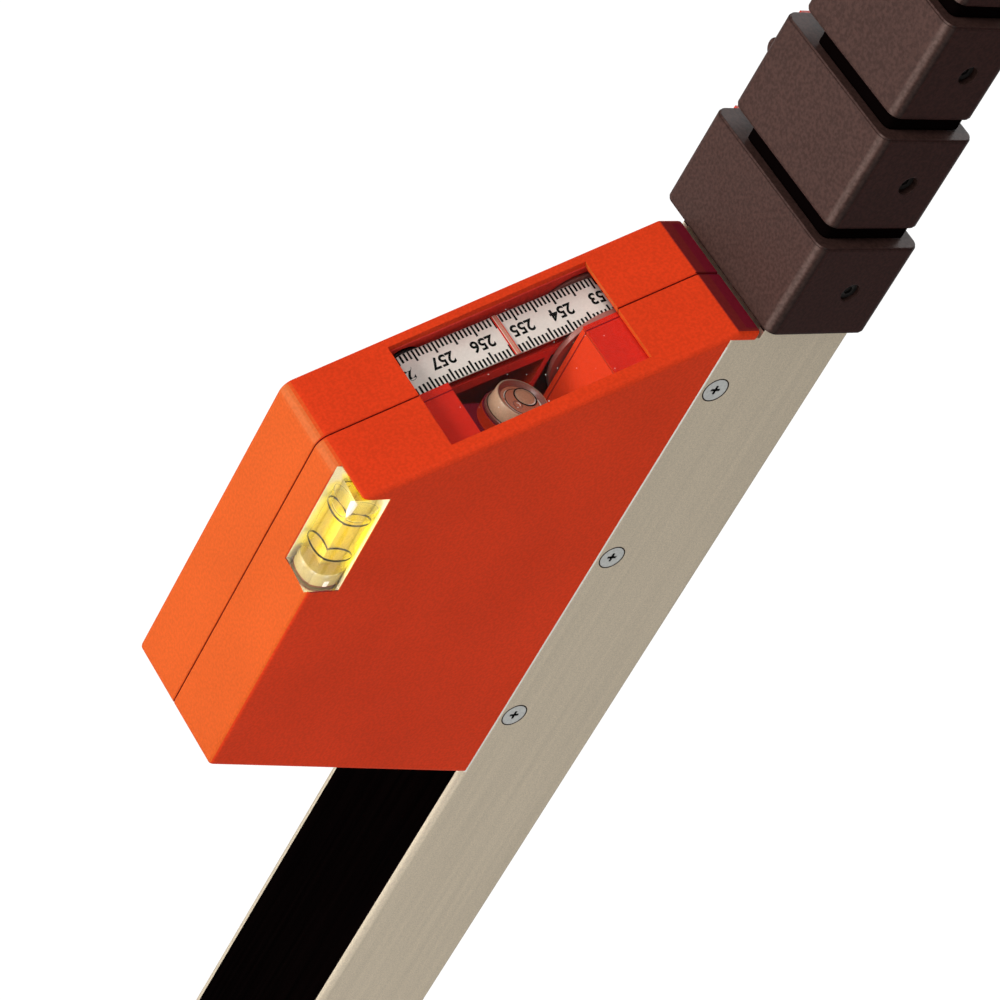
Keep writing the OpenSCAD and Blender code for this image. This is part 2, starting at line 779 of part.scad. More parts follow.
module base_profile() {
    color([0.7, 0.68, 0.62])
        difference() {
            translate([0, 0, foot_h - foot_socket + seat])
                linear_extrude(height = collar_z + tube_top - foot_h + foot_socket - seat)
                    difference() {
                        round_rect([profile_w, profile_d], profile_r);
                        translate([0, front_y + channel_d / 2 - 1])
                            square([chamber_w, channel_d + 2], center = true);
                        translate([0, tube_y])
                            round_rect([chamber_w, chamber_d], slide_r);
                    }
            // the channel's walls end under the housing's flange
            translate([-profile_w, front_y - 1, collar_z - notch_z])
                cube([2 * profile_w, 1 + notch_y, 100]);
            // inside the collar only the tube's chamber goes on
            translate([-profile_w, front_y - 1, collar_z - 0.3])
                cube([2 * profile_w, 1 + channel_d, 100]);
            // countersunk holes of the housing screws and the room of the wheel's left flange
            in_housing() {
                for (z = screw_heights)
                    translate([profile_w / 2 + seat, screw_back, z])
                        rotate([0, -90, 0]) {
                            cylinder(r1 = head_r + 0.1, r2 = 1.35, h = head_r - 1.25);
                            cylinder(r = 1.35, h = 6);
                        }
                rod_x(wheel_c, flange_r + 0.6, -in_x - 0.7, -chamber_w / 2 + 1);
            }
            // tapped holes of the first collar's side screws
            collar_screw_cuts(1, 1.05);
            // the web ends above the return roller
            translate([-chamber_w / 2, front_y + 2, 0])
                cube([chamber_w, profile_d - 2 - profile_wall - slide_r, foot_h + 4]);
        }
}

module cover_strip() {
    color([0.03, 0.03, 0.03])
        translate([0, 0, foot_h + seat])
            linear_extrude(height = body_z - foot_h - 2 * seat) {
                translate([-chamber_w / 2 + seat, front_y])
                    square([chamber_w - 2 * seat, strip_t]);
                // two legs that clip inside the channel
                for (side = [-1, 1])
                    translate([side * (chamber_w / 2 - seat - 0.6) - 0.6, front_y + strip_t - 0.1])
                        square([1.2, 2.4]);
            }
}

foot_outer = [profile_w + 2 * foot_lip, profile_d + 2 * foot_lip];
foot_screw_x = profile_w / 2 - 5;

module foot_block() {
    color([0.06, 0.06, 0.06])
        difference() {
            translate([0, 0, plate_t])
                linear_extrude(height = foot_h - plate_t)
                    round_rect(foot_outer, 3);
            // socket for the profile
            translate([0, 0, foot_h - foot_socket])
                linear_extrude(height = foot_socket + 1)
                    round_rect([profile_w + 2 * seat, profile_d + 2 * seat], profile_r);
            // room of the return roller and the tape
            translate([-tape_w / 2 - 1, tape_y0 - 1.2, plate_t - 1])
                cube([tape_w + 2, tube_y - tape_y0 + 2.6, foot_h]);
            rod_x(return_c, pin_r + 0.01, -tape_w / 2 - 4.1, profile_w);
            // threaded holes for the foot screws
            for (x = [-foot_screw_x, foot_screw_x])
                translate([x, 0, plate_t - 1])
                    cylinder(r = 1.6, h = 13);
        }
}

module foot_plate() {
    color([0.62, 0.62, 0.6])
        difference() {
            linear_extrude(height = plate_t - seat)
                round_rect(foot_outer, 3);
            for (x = [-foot_screw_x, foot_screw_x])
                translate([x, 0, -1]) {
                    cylinder(r = 1.8, h = plate_t + 2);
                    cylinder(r1 = 4.3, r2 = 1.7, h = 2.6);
                }
        }
}

module foot_screws() {
    color([0.55, 0.55, 0.55])
        for (x = [-foot_screw_x, foot_screw_x])
            translate([x, 0, 0.25])
                difference() {
                    union() {
                        cylinder(r1 = 3, r2 = 1.5, h = 1.5);
                        cylinder(r = 1.5, h = 13);
                    }
                    for (a = [0, 90])
                        rotate(a)
                            translate([-1.6, -0.35, -1])
                                cube([3.2, 0.7, 1.9]);
                }
}

module return_roller() {
    color([0.2, 0.2, 0.2])
        difference() {
            rod_x(return_c, return_r, -tape_w / 2 - 0.4, tape_w / 2 + 0.4);
            rod_x(return_c, pin_r + run, -tape_w, tape_w);
        }
}

module return_roller_pin() {
    color([0.7, 0.7, 0.72])
        rod_x(return_c, pin_r, -tape_w / 2 - 4, profile_w / 2 + foot_lip - 1);
}

// Sliding sections, counted from 2, and what each of them carries

module section(k) {
    top = k == 6 ? collar_at(6) + cap_socket - seat : collar_at(k) + tube_top;
    color([0.72, 0.71, 0.68])
        difference() {
            translate([0, tube_y, section_z(k)])
                linear_extrude(height = top - section_z(k))
                    difference() {
                        round_rect(tube_size(k), slide_r);
                        round_rect(bore_size(k), slide_r - slide_wall + 0.2);
                    }
            if (k < 6)
                collar_screw_cuts(k, 1.05);
            if (k == 6)
                cap_screw_cuts(1.05);
        }
}

module guide_shoe(k) {
    room = bore_size(k - 1) - [2 * slip, 2 * slip];
    plug = bore_size(k) - [2 * seat, 2 * seat];
    color([0.1, 0.1, 0.1])
        translate([0, tube_y, section_z(k) - shoe_h])
            difference() {
                union() {
                    linear_extrude(height = shoe_h - seat)
                        round_rect(room, slide_r - 0.3);
                    linear_extrude(height = shoe_h + plug_h)
                        round_rect(plug, slide_r - slide_wall + 0.2);
                }
                // passage for the tape, or the slot that holds its end
                if (k < 6)
                    translate([0, 0, -1])
                        linear_extrude(height = shoe_h + plug_h + 2)
                            square(plug - [1.6, 1.6], center = true);
                if (k == 6)
                    translate([-tape_w / 2 - 0.4, -0.5, -1])
                        cube([tape_w + 0.8, 1, 7]);
            }
}

module collar(k) {
    size = collar_size(k);
    color([0.09, 0.07, 0.07])
        difference() {
            union() {
                translate([0, tube_y, collar_at(k)])
                    collar_outside(size);
                if (k > 1)
                    translate([0, tube_y, collar_at(k) - neck_h + slip])
                        linear_extrude(height = neck_h + 1)
                            round_rect(size - [2 * neck_back, 2 * neck_back], collar_r - neck_back);
                lever_brackets(k);
            }
            // socket over the tube that carries the collar
            translate([0, tube_y, collar_at(k) - neck_h - 1])
                linear_extrude(height = neck_h + 1 + collar_socket)
                    if (k == 1)
                        square(tube_size(k) + [2 * seat, 2 * seat], center = true);
                    else
                        round_rect(tube_size(k) + [2 * seat, 2 * seat], slide_r);
            // guide for the next section
            translate([0, tube_y, collar_at(k)])
                linear_extrude(height = collar_h + 1)
                    round_rect(tube_size(k + 1) + [2 * slip, 2 * slip], slide_r);
            collar_screw_cuts(k, collar_hole_r);
            lever_room(k);
        }
}

// Outside of a collar, with a small slope at its top and bottom rims
module collar_outside(size) {
    rim = 0.5;
    wide = size + [collar_left, 0];
    translate([-collar_left / 2, 0, rim])
        linear_extrude(height = collar_h - 2 * rim)
            round_rect(wide, collar_r);
    for (z = [0, collar_h - rim])
        translate([-collar_left / 2, 0, z])
            linear_extrude(height = rim)
                round_rect(wide - [rim, rim], collar_r - rim / 2);
}

// Side holes of a collar and the holes of its screws in the tube
module collar_screw_cuts(k, r) {
    x0 = tube_size(k)[0] / 2 - 3;
    rod_x([tube_y + 2, collar_at(k) + collar_screw_z], r, x0, collar_w);
    rod_x([tube_y + 2, collar_at(k) + collar_screw_z], r, -collar_w - collar_left, -x0);
}

module collar_screws(k) {
    inner = tube_size(k)[0] / 2;
    wall = k == 1 ? profile_wall : slide_wall;
    color([0.08, 0.08, 0.08])
        for (side = [-1, 1])
            translate([side * (inner + 0.15), tube_y + 2, collar_at(k) + collar_screw_z])
                mirror([side > 0 ? 0 : 1, 0, 0])
                    rotate([0, 90, 0])
                        difference() {
                            union() {
                                cylinder(r = collar_hole_r - 0.2, h = 1.1);
                                translate([0, 0, -wall - 0.1])
                                    cylinder(r = 1, h = wall + 0.2);
                            }
                            // hexagon socket
                            translate([0, 0, 0.5])
                                cylinder(r = 1.2, h = 2, $fn = 6);
                        }
}

// Lock lever on the left of each collar: a rocker on a pin between two brackets.
// Pressing its lower end lifts the brake at its upper end from the next section.
// The lever is drawn on the back and then turned to the left.

module on_left() {
    translate([0, tube_y, 0])
        rotate(90)
            translate([0, -tube_y, 0])
                children();
}

function cheek(k) = (collar_size(k)[0] - tube_size(k + 1)[0]) / 2 + collar_left;
function back_of(k) = tube_y + collar_size(k)[0] / 2 + collar_left;
lever_out = 1.6;
pin_out = lever_out + lever_t / 2 - 0.3;
lever_mid = 13;
brake_z = 6.6;
brake_h = 3;
function lever_c(k) = [back_of(k) + pin_out, collar_at(k) + lever_mid];
lever_x = lever_w / 2 + 0.35;

module lever_brackets(k) {
    on_left()
        for (x = [-lever_x - bracket_t, lever_x])
            across(x, x + bracket_t)
                translate(lever_c(k)) {
                    circle(2.6);
                    translate([-pin_out - 1, -3.2])
                        square([pin_out + 1, 6.4]);
                }
}

// Room of the brake in the collar's left wall, and the hole of the pin
module lever_room(k) {
    on_left() {
        translate([-lever_x, back_of(k) - cheek(k) - 1, lever_c(k)[1] + brake_z - 0.5])
            cube([2 * lever_x, cheek(k) + 1.2, brake_h + 2.6]);
        rod_x(lever_c(k), lever_pin_r + 0.01, -lever_x - 6, lever_x + 6);
    }
}

module lock_lever(k) {
    brake_in = cheek(k) - slip;
    color([0.75, 0.1, 0.06])
        on_left() difference() {
            across(-lever_w / 2, lever_w / 2)
                translate([back_of(k), collar_at(k) + lever_mid]) {
                    translate([lever_out, -lever_h / 2])
                        square([lever_t, lever_h]);
                    translate([pin_out, 0])
                        circle(2);
                    // brake at the upper end, through the collar's wall
                    translate([-brake_in, brake_z])
                        square([brake_in + lever_out + 1, brake_h]);
                    // thumb rest at the lower end
                    translate([lever_out + 0.5, -lever_h / 2])
                        square([lever_t + 0.7, 6]);
                }
            rod_x(lever_c(k), lever_pin_r + run, -lever_w, lever_w);
            // grip grooves in the thumb rest
            for (i = [0:2])
                translate([-lever_w, back_of(k) + lever_out + lever_t + 0.7, lever_c(k)[1] - lever_h / 2 + 1 + i * 1.7])
                    cube([2 * lever_w, 2, 0.8]);
        }
}

module lock_pin(k) {
    color([0.7, 0.7, 0.72])
        on_left()
            rod_x(lever_c(k), lever_pin_r, -lever_x - bracket_t, lever_x + bracket_t);
}

// End cap of the last section: neck, body and the flat measuring face

module end_cap() {
    size = collar_size(6);
    z = collar_at(6);
    color([0.09, 0.07, 0.07])
        translate([0, tube_y, 0])
            difference() {
                union() {
                    translate([0, 0, z])
                        linear_extrude(height = cap_h - 0.5)
                            round_rect(size, collar_r);
                    translate([0, 0, z])
                        linear_extrude(height = cap_h)
                            round_rect(size - [1, 1], collar_r - 0.5);
                    translate([0, 0, z - neck_h + slip])
                        linear_extrude(height = neck_h + 1)
                            round_rect(size - [2 * neck_back, 2 * neck_back], collar_r - neck_back);
                }
                // socket over the tube
                translate([0, 0, z - neck_h - 1])
                    linear_extrude(height = neck_h + 1 + cap_socket)
                        round_rect(tube_size(6) + [2 * seat, 2 * seat], slide_r);
                translate([0, -tube_y, 0])
                    cap_screw_cuts(collar_hole_r - 0.5);
            }
}

module cap_screw_cuts(r) {
    rod_x([tube_y, collar_at(6) + 3.5], r, tube_size(6)[0] / 2 - 3, collar_w);
    rod_x([tube_y, collar_at(6) + 3.5], r, -collar_w, -tube_size(6)[0] / 2 + 3);
}

module cap_screws() {
    inner = tube_size(6)[0] / 2;
    color([0.08, 0.08, 0.08])
        for (side = [-1, 1])
            translate([side * (inner + 0.15), tube_y, collar_at(6) + 3.5])
                mirror([side > 0 ? 0 : 1, 0, 0])
                    rotate([0, 90, 0])
                        difference() {
                            union() {
                                cylinder(r = collar_hole_r - 0.7, h = 1.1);
                                translate([0, 0, -slide_wall - 0.1])
                                    cylinder(r = 1, h = slide_wall + 0.2);
                            }
                            translate([0, 0, 0.5])
                                cylinder(r = 1, h = 2, $fn = 6);
                        }
}

base_profile();
cover_strip();
foot_block();
foot_plate();
foot_screws();
return_roller();
return_roller_pin();
shell_right();
shell_left();
shell_screws();
profile_screws();
window_pane();
reading_tape();
guide_wheel();
guide_wheel_pin();
guide_roller();
guide_roller_pin();
tape_reel();
wound_tape();
return_spring();
reel_axle();
vial_block();
vial_liquid();
round_level();
section(2);  // section_2
section(3);  // section_3
section(4);  // section_4
section(5);  // section_5
section(6);  // section_6
guide_shoe(2);  // guide_shoe_2
guide_shoe(3);  // guide_shoe_3
guide_shoe(4);  // guide_shoe_4
guide_shoe(5);  // guide_shoe_5
guide_shoe(6);  // guide_shoe_6
collar(1);  // collar_1
collar(2);  // collar_2
collar(3);  // collar_3
collar(4);  // collar_4
collar(5);  // collar_5
end_cap();
collar_screws(1);  // collar_screws_1
collar_screws(2);  // collar_screws_2
collar_screws(3);  // collar_screws_3
collar_screws(4);  // collar_screws_4
collar_screws(5);  // collar_screws_5
cap_screws();
lock_lever(1);  // lock_lever_1
lock_lever(2);  // lock_lever_2
lock_lever(3);  // lock_lever_3
lock_lever(4);  // lock_lever_4
lock_lever(5);  // lock_lever_5
lock_pin(1);  // lock_pin_1
lock_pin(2);  // lock_pin_2
lock_pin(3);  // lock_pin_3
lock_pin(4);  // lock_pin_4
lock_pin(5);  // lock_pin_5
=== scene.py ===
import math
import bmesh
import bpy
from mathutils import Matrix, Vector

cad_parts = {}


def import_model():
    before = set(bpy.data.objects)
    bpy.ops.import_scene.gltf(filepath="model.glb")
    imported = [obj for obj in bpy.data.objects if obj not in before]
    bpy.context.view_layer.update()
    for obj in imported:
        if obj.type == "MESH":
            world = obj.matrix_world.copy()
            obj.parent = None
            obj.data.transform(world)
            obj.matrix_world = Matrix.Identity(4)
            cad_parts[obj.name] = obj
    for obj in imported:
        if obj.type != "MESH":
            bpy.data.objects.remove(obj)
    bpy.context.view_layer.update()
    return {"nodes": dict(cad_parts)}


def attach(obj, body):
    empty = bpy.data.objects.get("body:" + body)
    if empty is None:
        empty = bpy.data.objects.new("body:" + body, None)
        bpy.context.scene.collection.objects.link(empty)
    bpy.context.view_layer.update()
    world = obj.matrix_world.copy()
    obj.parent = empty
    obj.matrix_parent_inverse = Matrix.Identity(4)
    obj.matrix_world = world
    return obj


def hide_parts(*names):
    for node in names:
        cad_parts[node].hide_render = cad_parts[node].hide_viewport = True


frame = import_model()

NODES = frame["nodes"]
MM = 0.001

# Sizes of the source, in mm: the rod's collars and its profile

COLLAR_Z, COLLAR_STEP, COLLAR_H = 538.0, 30.0, 26.0
PROFILE_SIDE = 18.4

# Sizes of the housing, in mm, in its own frame: Y from the profile's front, Z from the housing's
# lower back edge

FRONT_Y = -18.2
BODY_Z = 391.98
BODY_D, BODY_H = 80.4, 145.4
NOSE_Z = 97.0
TILT = math.radians(30.5)
SEAM_X = -0.7
WINDOW_HALF = 17.2
SCREW_ZS, SCREW_Y, SCREW_HEAD_R = (19.4, 73.3, 127.2), 5.5, 3.2

# The tape, and the roller and the wheel that it runs over

TAPE_X0, TAPE_X1 = -16.4, -4.2
TAPE_T = 0.3
ROLLER_R, WHEEL_R, RUN = 4.0, 12.0, 0.05
ROLLER_S, WHEEL_S = 29.0, 73.0
ROLLER_DEEP, WHEEL_DEEP = 5.0, 6.5

# The two levels

LEVEL = (6.4, -36.2, 114.5)
VIAL = (13.2, -75.5, 73.2)
TUBE_R, TUBE_L = 4.3, 19.2


def in_scene(x, y, z):
    """A point of the housing frame, in mm, as a point of the scene."""
    return Vector((x, y + FRONT_Y, z + BODY_Z)) * MM


def on_slant(s, n):
    """Place on the slanted face: s up along it, n out of it. Gives (y, z) of the housing frame."""
    return (-BODY_D + s * math.cos(TILT) - n * math.sin(TILT),
            NOSE_Z + s * math.sin(TILT) + n * math.cos(TILT))


# Materials

def linear(*levels):
    """The shader's colour for red, green and blue levels from 0 to 255."""
    shares = [level / 255 for level in levels]
    return tuple(c / 12.92 if c <= 0.04045 else ((c + 0.055) / 1.055) ** 2.4 for c in shares) + (1.0,)


def put(node_input, value, link):
    """Sets an input to a constant, or links it where the value is another node's output."""
    if hasattr(value, "links"):
        link(value, node_input)
    else:
        node_input.default_value = value


class Mat:
    """A node material with the few node helpers that every finish here uses."""

    def __init__(self, name):
        self.material = bpy.data.materials.new(name)
        self.material.use_nodes = True
        self.tree = self.material.node_tree
        self.shader = self.tree.nodes["Principled BSDF"]
        self.out = self.tree.nodes["Material Output"]
        coords = self.tree.nodes.new("ShaderNodeTexCoord")
        self.place, self.normal = coords.outputs["Object"], coords.outputs["Normal"]

    def node(self, kind, **props):
        node = self.tree.nodes.new(kind)
        for k, v in props.items():
            setattr(node, k, v)
        return node

    def link(self, a, b):
        self.tree.links.new(a, b)

    def noise(self, scale, detail=2.0, rough=0.5, stretch=None):
        node = self.node("ShaderNodeTexNoise")
        node.inputs["Scale"].default_value = scale
        node.inputs["Detail"].default_value = detail
        node.inputs["Roughness"].default_value = rough
        if stretch:
            mapping = self.node("ShaderNodeMapping")
            mapping.inputs["Scale"].default_value = stretch
            self.link(self.place, mapping.inputs["Vector"])
            self.link(mapping.outputs["Vector"], node.inputs["Vector"])
        else:
            self.link(self.place, node.inputs["Vector"])
        return node.outputs["Fac"]

    def ramp(self, fac, stops):
        """Blend of two colours, each given with its place."""
        node = self.node("ShaderNodeValToRGB")
        for stop, (position, colour) in zip(node.color_ramp.elements, stops):
            stop.position = position
            stop.color = colour
        self.link(fac, node.inputs["Fac"])
        return node.outputs["Color"]

    def maps(self, fac, a, b, lo=0.0, hi=1.0):
        """The range lo to hi of fac, mapped to a to b and held at its ends."""
        node = self.node("ShaderNodeMapRange")
        node.inputs["From Min"].default_value = lo
        node.inputs["From Max"].default_value = hi
        node.inputs["To Min"].default_value = a
        node.inputs["To Max"].default_value = b
        self.link(fac, node.inputs["Value"])
        return node.outputs["Result"]

    def mix(self, fac, a, b, mode="MIX"):
        node = self.node("ShaderNodeMix", data_type="RGBA", blend_type=mode)
        for sock, v in ((node.inputs[0], fac), (node.inputs[6], a), (node.inputs[7], b)):
            put(sock, v, self.link)
        return node.outputs[2]

    def bump(self, height, strength, distance, normal=None):
        node = self.node("ShaderNodeBump")
        node.inputs["Strength"].default_value = strength
        node.inputs["Distance"].default_value = distance
        self.link(height, node.inputs["Height"])
        if normal is not None:
            self.link(normal, node.inputs["Normal"])
        return node.outputs["Normal"]

    def axis(self, vector, i):
        """X, Y or Z of a vector, for i of 0, 1 or 2."""
        node = self.node("ShaderNodeSeparateXYZ")
        self.link(vector, node.inputs[0])
        return node.outputs[i]

    def math(self, op, a, b=0.0):
        node = self.node("ShaderNodeMath", operation=op)
        for sock, v in ((node.inputs[0], a), (node.inputs[1], b)):
            put(sock, v, self.link)
        return node.outputs[0]

    def near(self, value, middle, half):
        """1 where the value lies within half of the middle."""
        node = self.node("ShaderNodeMath", operation="COMPARE")
        self.link(value, node.inputs[0])
        node.inputs[1].default_value = middle
        node.inputs[2].default_value = half
        return node.outputs[0]

    def both(self, a, b):
        return self.math("MULTIPLY", a, b)

    def tinted(self, col, mask, tone):
        """The colour multiplied by a tone where the mask is 1."""
        return self.mix(mask, col, self.mix(1.0, col, tone, "MULTIPLY"))

    def bevel(self, radius):
        node = self.node("ShaderNodeBevel", samples=4)
        node.inputs["Radius"].default_value = radius
        return node.outputs["Normal"]

    def set(self, **values):
        for k, v in values.items():
            put(self.shader.inputs[k.replace("_", " ")], v, self.link)
        return self


def shade(base, k):
    """The colour made k times as bright."""
    return tuple(c * k for c in base[:3]) + (1.0,)


def grey(v):
    return (v, v, v, 1)


def plastic(name, base, rough, grain=2600.0, depth=0.00003, speck=0.07, edge=0.00025, spec=0.5, top=None,
            side=None, masks=None, dark=None):
    """Moulded plastic: fine texture from the mould, a little uneven colour, soft edges.

    top and side tint the faces that look to +Z and +X, as painted shade; masks gives pairs of a mask and its
    tint, and dark is a mask that blackens, as painted shade.
    """
    m = Mat(name)
    fine = m.noise(grain, 2.0, 0.6)
    large = m.noise(38.0, 3.0)
    tint = m.ramp(large, [(0.3, shade(base, 0.95)), (0.7, shade(base, 1.05))])
    dots = m.ramp(m.noise(grain * 0.55, 1.0), [(0.35, grey(1 - speck)), (0.65, grey(1 + speck))])
    col = m.mix(1.0, tint, dots, "MULTIPLY")
    # Painted shade on the faces that look to +Z and to +X
    for way, tone in ((2, top), (0, side)):
        if tone:
            col = m.tinted(col, m.maps(m.axis(m.normal, way), 0.0, 1.0, 0.88, 0.99), tone)
    if masks:
        for mask, tone in masks(m):
            col = m.tinted(col, mask, tone)
    # Painted shade: near black where the dark mask is 1
    if dark:
        col = m.mix(dark(m), col, (0.002, 0.001, 0.001, 1))
        spec = m.maps(dark(m), spec, 0.0)
    m.set(Base_Color=col)
    m.set(Roughness=m.maps(m.noise(120.0, 3.0), rough - 0.05, rough + 0.06))
    m.set(Specular_IOR_Level=spec)
    soft = m.bevel(edge) if edge else None
    m.set(Normal=m.bump(fine, 0.35, depth, soft))
    return m


def neck_mask(m):
    """1 on the necks between the collars, which get painted shade."""
    past = 0.04
    above = m.math("SUBTRACT", m.axis(m.place, 2), COLLAR_Z * MM)
    turn = m.math("FRACT", m.math("DIVIDE", above, COLLAR_STEP * MM))
    return m.math("GREATER_THAN", turn, (COLLAR_H + past) / COLLAR_STEP)


def housing_tones(m):
    """Painted light on the red housing: a lighter front, a painted highlight along the nose, painted shade on
    the ledges and painted light on the walls inside the window; also its dark seam lines.
    """
    skin, behind_front = 1.5, 8.6
    x, y, z = (m.axis(m.place, i) for i in range(3))
    nx, ny, nz = (m.axis(m.normal, i) for i in range(3))
    y0, z0 = in_scene(0, *on_slant(0, -skin))[1:]
    out = m.math("ADD", m.math("MULTIPLY", m.math("SUBTRACT", y, y0), -math.sin(TILT)),
                 m.math("MULTIPLY", m.math("SUBTRACT", z, z0), math.cos(TILT)))
    inside = m.both(m.math("LESS_THAN", out, 0.0),
                    m.math("LESS_THAN", m.math("ABSOLUTE", x), WINDOW_HALF * MM))
    inside = m.both(inside, m.math("GREATER_THAN", y, in_scene(0, behind_front - BODY_D, 0)[1]))
    # Painted light: the front, the nose band, and the ledges and walls inside the window are tinted by the
    # way they face the lamps
    front = m.both(m.maps(ny, 1.0, 0.0, -0.8, -0.6), m.math("SUBTRACT", 1.0, inside))
    nose = m.both(front, m.both(m.maps(nz, 0.0, 1.0, 0.03, 0.3), m.maps(nz, 1.0, 0.0, 0.5, 0.75)))
    shaded_ledge = m.both(inside, m.maps(nz, 0.0, 1.0, 0.6, 0.8))
    wall = m.both(inside, m.maps(nx, 0.0, 1.0, 0.7, 0.9))
    from_seam = m.math("ABSOLUTE", m.math("SUBTRACT", x, SEAM_X * MM))
    seam = m.math("LESS_THAN", from_seam, 0.18 * MM)
    top_seam = m.both(m.math("LESS_THAN", from_seam, 0.45 * MM),
                      m.math("GREATER_THAN", z, in_scene(0, 0, BODY_H - 0.2)[2]))
    return (
        (front, (0.84, 2.0, 1.35, 1)),
        (nose, (1.0, 1.45, 2.6, 1)),
        (shaded_ledge, (0.95, 0.5, 1.2, 1)),
        (wall, (1.28, 1.35, 4.5, 1)),
        (seam, (0.34, 0.2, 0.7, 1)),
        (top_seam, (0.2, 0.25, 1.0, 1)),
    )


def corner_tone(m):
    """Painted highlight on the rounded corner of the black collars, between their front and their side, and
    painted shade where the corner meets the side.
    """
    nx, ny = m.axis(m.normal, 0), m.axis(m.normal, 1)
    ahead = m.maps(ny, 1.0, 0.0, -0.2, -0.05)
    # pale is the painted highlight, deep the painted shade next to the side
    pale = m.both(m.maps(nx, 0.0, 1.0, 0.15, 0.4), m.maps(nx, 1.0, 0.0, 0.55, 0.75))
    deep = m.both(m.maps(nx, 0.0, 1.0, 0.65, 0.85), m.maps(nx, 1.0, 0.0, 0.96, 0.995))
    return (m.both(pale, ahead), (1.85, 2.35, 2.45, 1)), (m.both(deep, ahead), (0.5, 0.55, 0.55, 1))


def collar_black(name, dark=None):
    """Speckled brown-black plastic of the collars and the end cap, with painted shade on its side and a
    painted highlight on its corner.
    """
    return plastic(name, (0.058, 0.029, 0.024, 1), 0.38, grain=2200.0, depth=0.00006, speck=0.2,
                   edge=0.0005, spec=0.08, side=(0.5, 0.34, 0.34, 1), masks=corner_tone, dark=dark)


# The top tint is painted shade on the housing's faces that look up; housing_tones paints the rest of its
# light
red = plastic("red plastic", (0.76, 0.049, 0.0105, 1), 0.5, spec=0.06, top=(0.32, 0.44, 2.1, 1),
              masks=housing_tones, edge=0.0002, depth=0.00004)
black_collar = collar_black("black collar plastic", neck_mask)
black_cap = collar_black("black cap plastic")
black_foot = plastic("black foot rubber", linear(30, 28, 28), 0.62, grain=1500.0, depth=0.00006, speck=0.1,
                     spec=0.3)
black_wheel = plastic("black roller plastic", linear(30, 29, 29), 0.45, spec=0.3)
brown = plastic("brown wheel plastic", (0.36, 0.12, 0.095, 1), 0.3, depth=0.00001, speck=0.05,
                edge=0.0002, spec=0.6)
lever_red = plastic("red lever plastic", (0.62, 0.03, 0.01, 1), 0.4, spec=0.3)


def strip_black():
    """Matt black strip with faint drawn lines along it."""
    m = Mat("black strip")
    lines = m.noise(900.0, 2.0, 0.5, stretch=(1.0, 1.0, 0.02))
    m.set(Base_Color=m.ramp(lines, [(0.3, (0.0008, 0.0005, 0.0005, 1)), (0.7, (0.002, 0.001, 0.001, 1))]))
    m.set(Roughness=m.maps(m.noise(200.0), 0.4, 0.55), Specular_IOR_Level=0.0)
    m.set(Normal=m.bump(m.noise(1800.0, 2.0), 0.2, 0.00002))
    return m


def edge_line(m):
    """1 on a narrow painted highlight line of the profile, along the housing's back edge."""
    behind, wide, middle_z, length = 0.98, 0.72, 70.02, 141.0
    y, z = in_scene(0, behind, middle_z)[1:]
    return m.both(m.near(m.axis(m.place, 1), y, wide / 2 * MM),
                  m.near(m.axis(m.place, 2), z, length / 2 * MM))


def joint_shadow(m):
    """1 on the profile's front and left in the narrow joint under the first collar, which gets painted shade.
    """
    joint = 0.9
    return m.both(m.math("GREATER_THAN", m.axis(m.place, 2), (COLLAR_Z - joint) * MM),
                  m.math("LESS_THAN", m.axis(m.normal, 0), 0.5))


def anodised(name, base, rough, metal=0.85, light=None, dark=None):
    """Matt anodised aluminium: a fine even grain, drawn very slightly along the rod."""
    m = Mat(name)
    grain = m.noise(2600.0, 2.0, 0.7)
    along = m.noise(500.0, 2.0, 0.5, stretch=(1.0, 1.0, 0.03))
    tint = m.ramp(grain, [(0.32, shade(base, 0.86)), (0.68, shade(base, 1.1))])
    draw = m.ramp(along, [(0.3, grey(0.96)), (0.7, grey(1.04))])
    col = m.mix(1.0, tint, draw, "MULTIPLY")
    # Painted highlight where the light mask is 1, and painted shade where the dark mask is 1
    if light:
        col = m.mix(light(m), col, (0.9, 0.86, 0.78, 1))
    if dark:
        col = m.mix(dark(m), col, (0.01, 0.006, 0.005, 1))
    m.set(Base_Color=col, Metallic=metal)
    m.set(Roughness=m.maps(grain, rough - 0.06, rough + 0.06))
    m.set(Normal=m.bump(grain, 0.3, 0.00003, m.bevel(0.0003)))
    return m


silver = anodised("anodised aluminium", (0.75, 0.65, 0.5, 1), 0.5, light=edge_line, dark=joint_shadow)
tube_silver = anodised("anodised tube", (0.38, 0.37, 0.35, 1), 0.52, 0.6)


def steel(name, base, rough, metal=0.95, recess_shade=None):
    """Plated or bare steel; recess_shade is the X under which a screw's cross is painted near black, as
    painted shade.
    """
    m = Mat(name)
    n = m.noise(1400.0, 3.0, 0.6)
    col = m.ramp(n, [(0.3, shade(base, 0.85)), (0.7, shade(base, 1.08))])
    if recess_shade:
        col = m.mix(m.math("LESS_THAN", m.axis(m.place, 0), recess_shade), col, grey(0.012))
    m.set(Base_Color=col, Metallic=metal)
    m.set(Roughness=m.maps(n, rough - 0.05, rough + 0.08))
    m.set(Normal=m.bump(n, 0.2, 0.00001, m.bevel(0.0001)))
    return m


screw_steel = steel("plated screw", linear(180, 176, 168), 0.34)
screw_dark = steel("dark screw", linear(60, 58, 56), 0.4)
head_steel = steel("screw head", (0.68, 0.69, 0.66, 1), 0.4, 0.35, (PROFILE_SIDE - 0.12) * MM)
pin_steel = steel("pin steel", linear(190, 188, 184), 0.25)
plate_steel = steel("foot plate steel", linear(172, 170, 166), 0.42)
spring_blue = steel("spring steel", linear(120, 124, 134), 0.35)


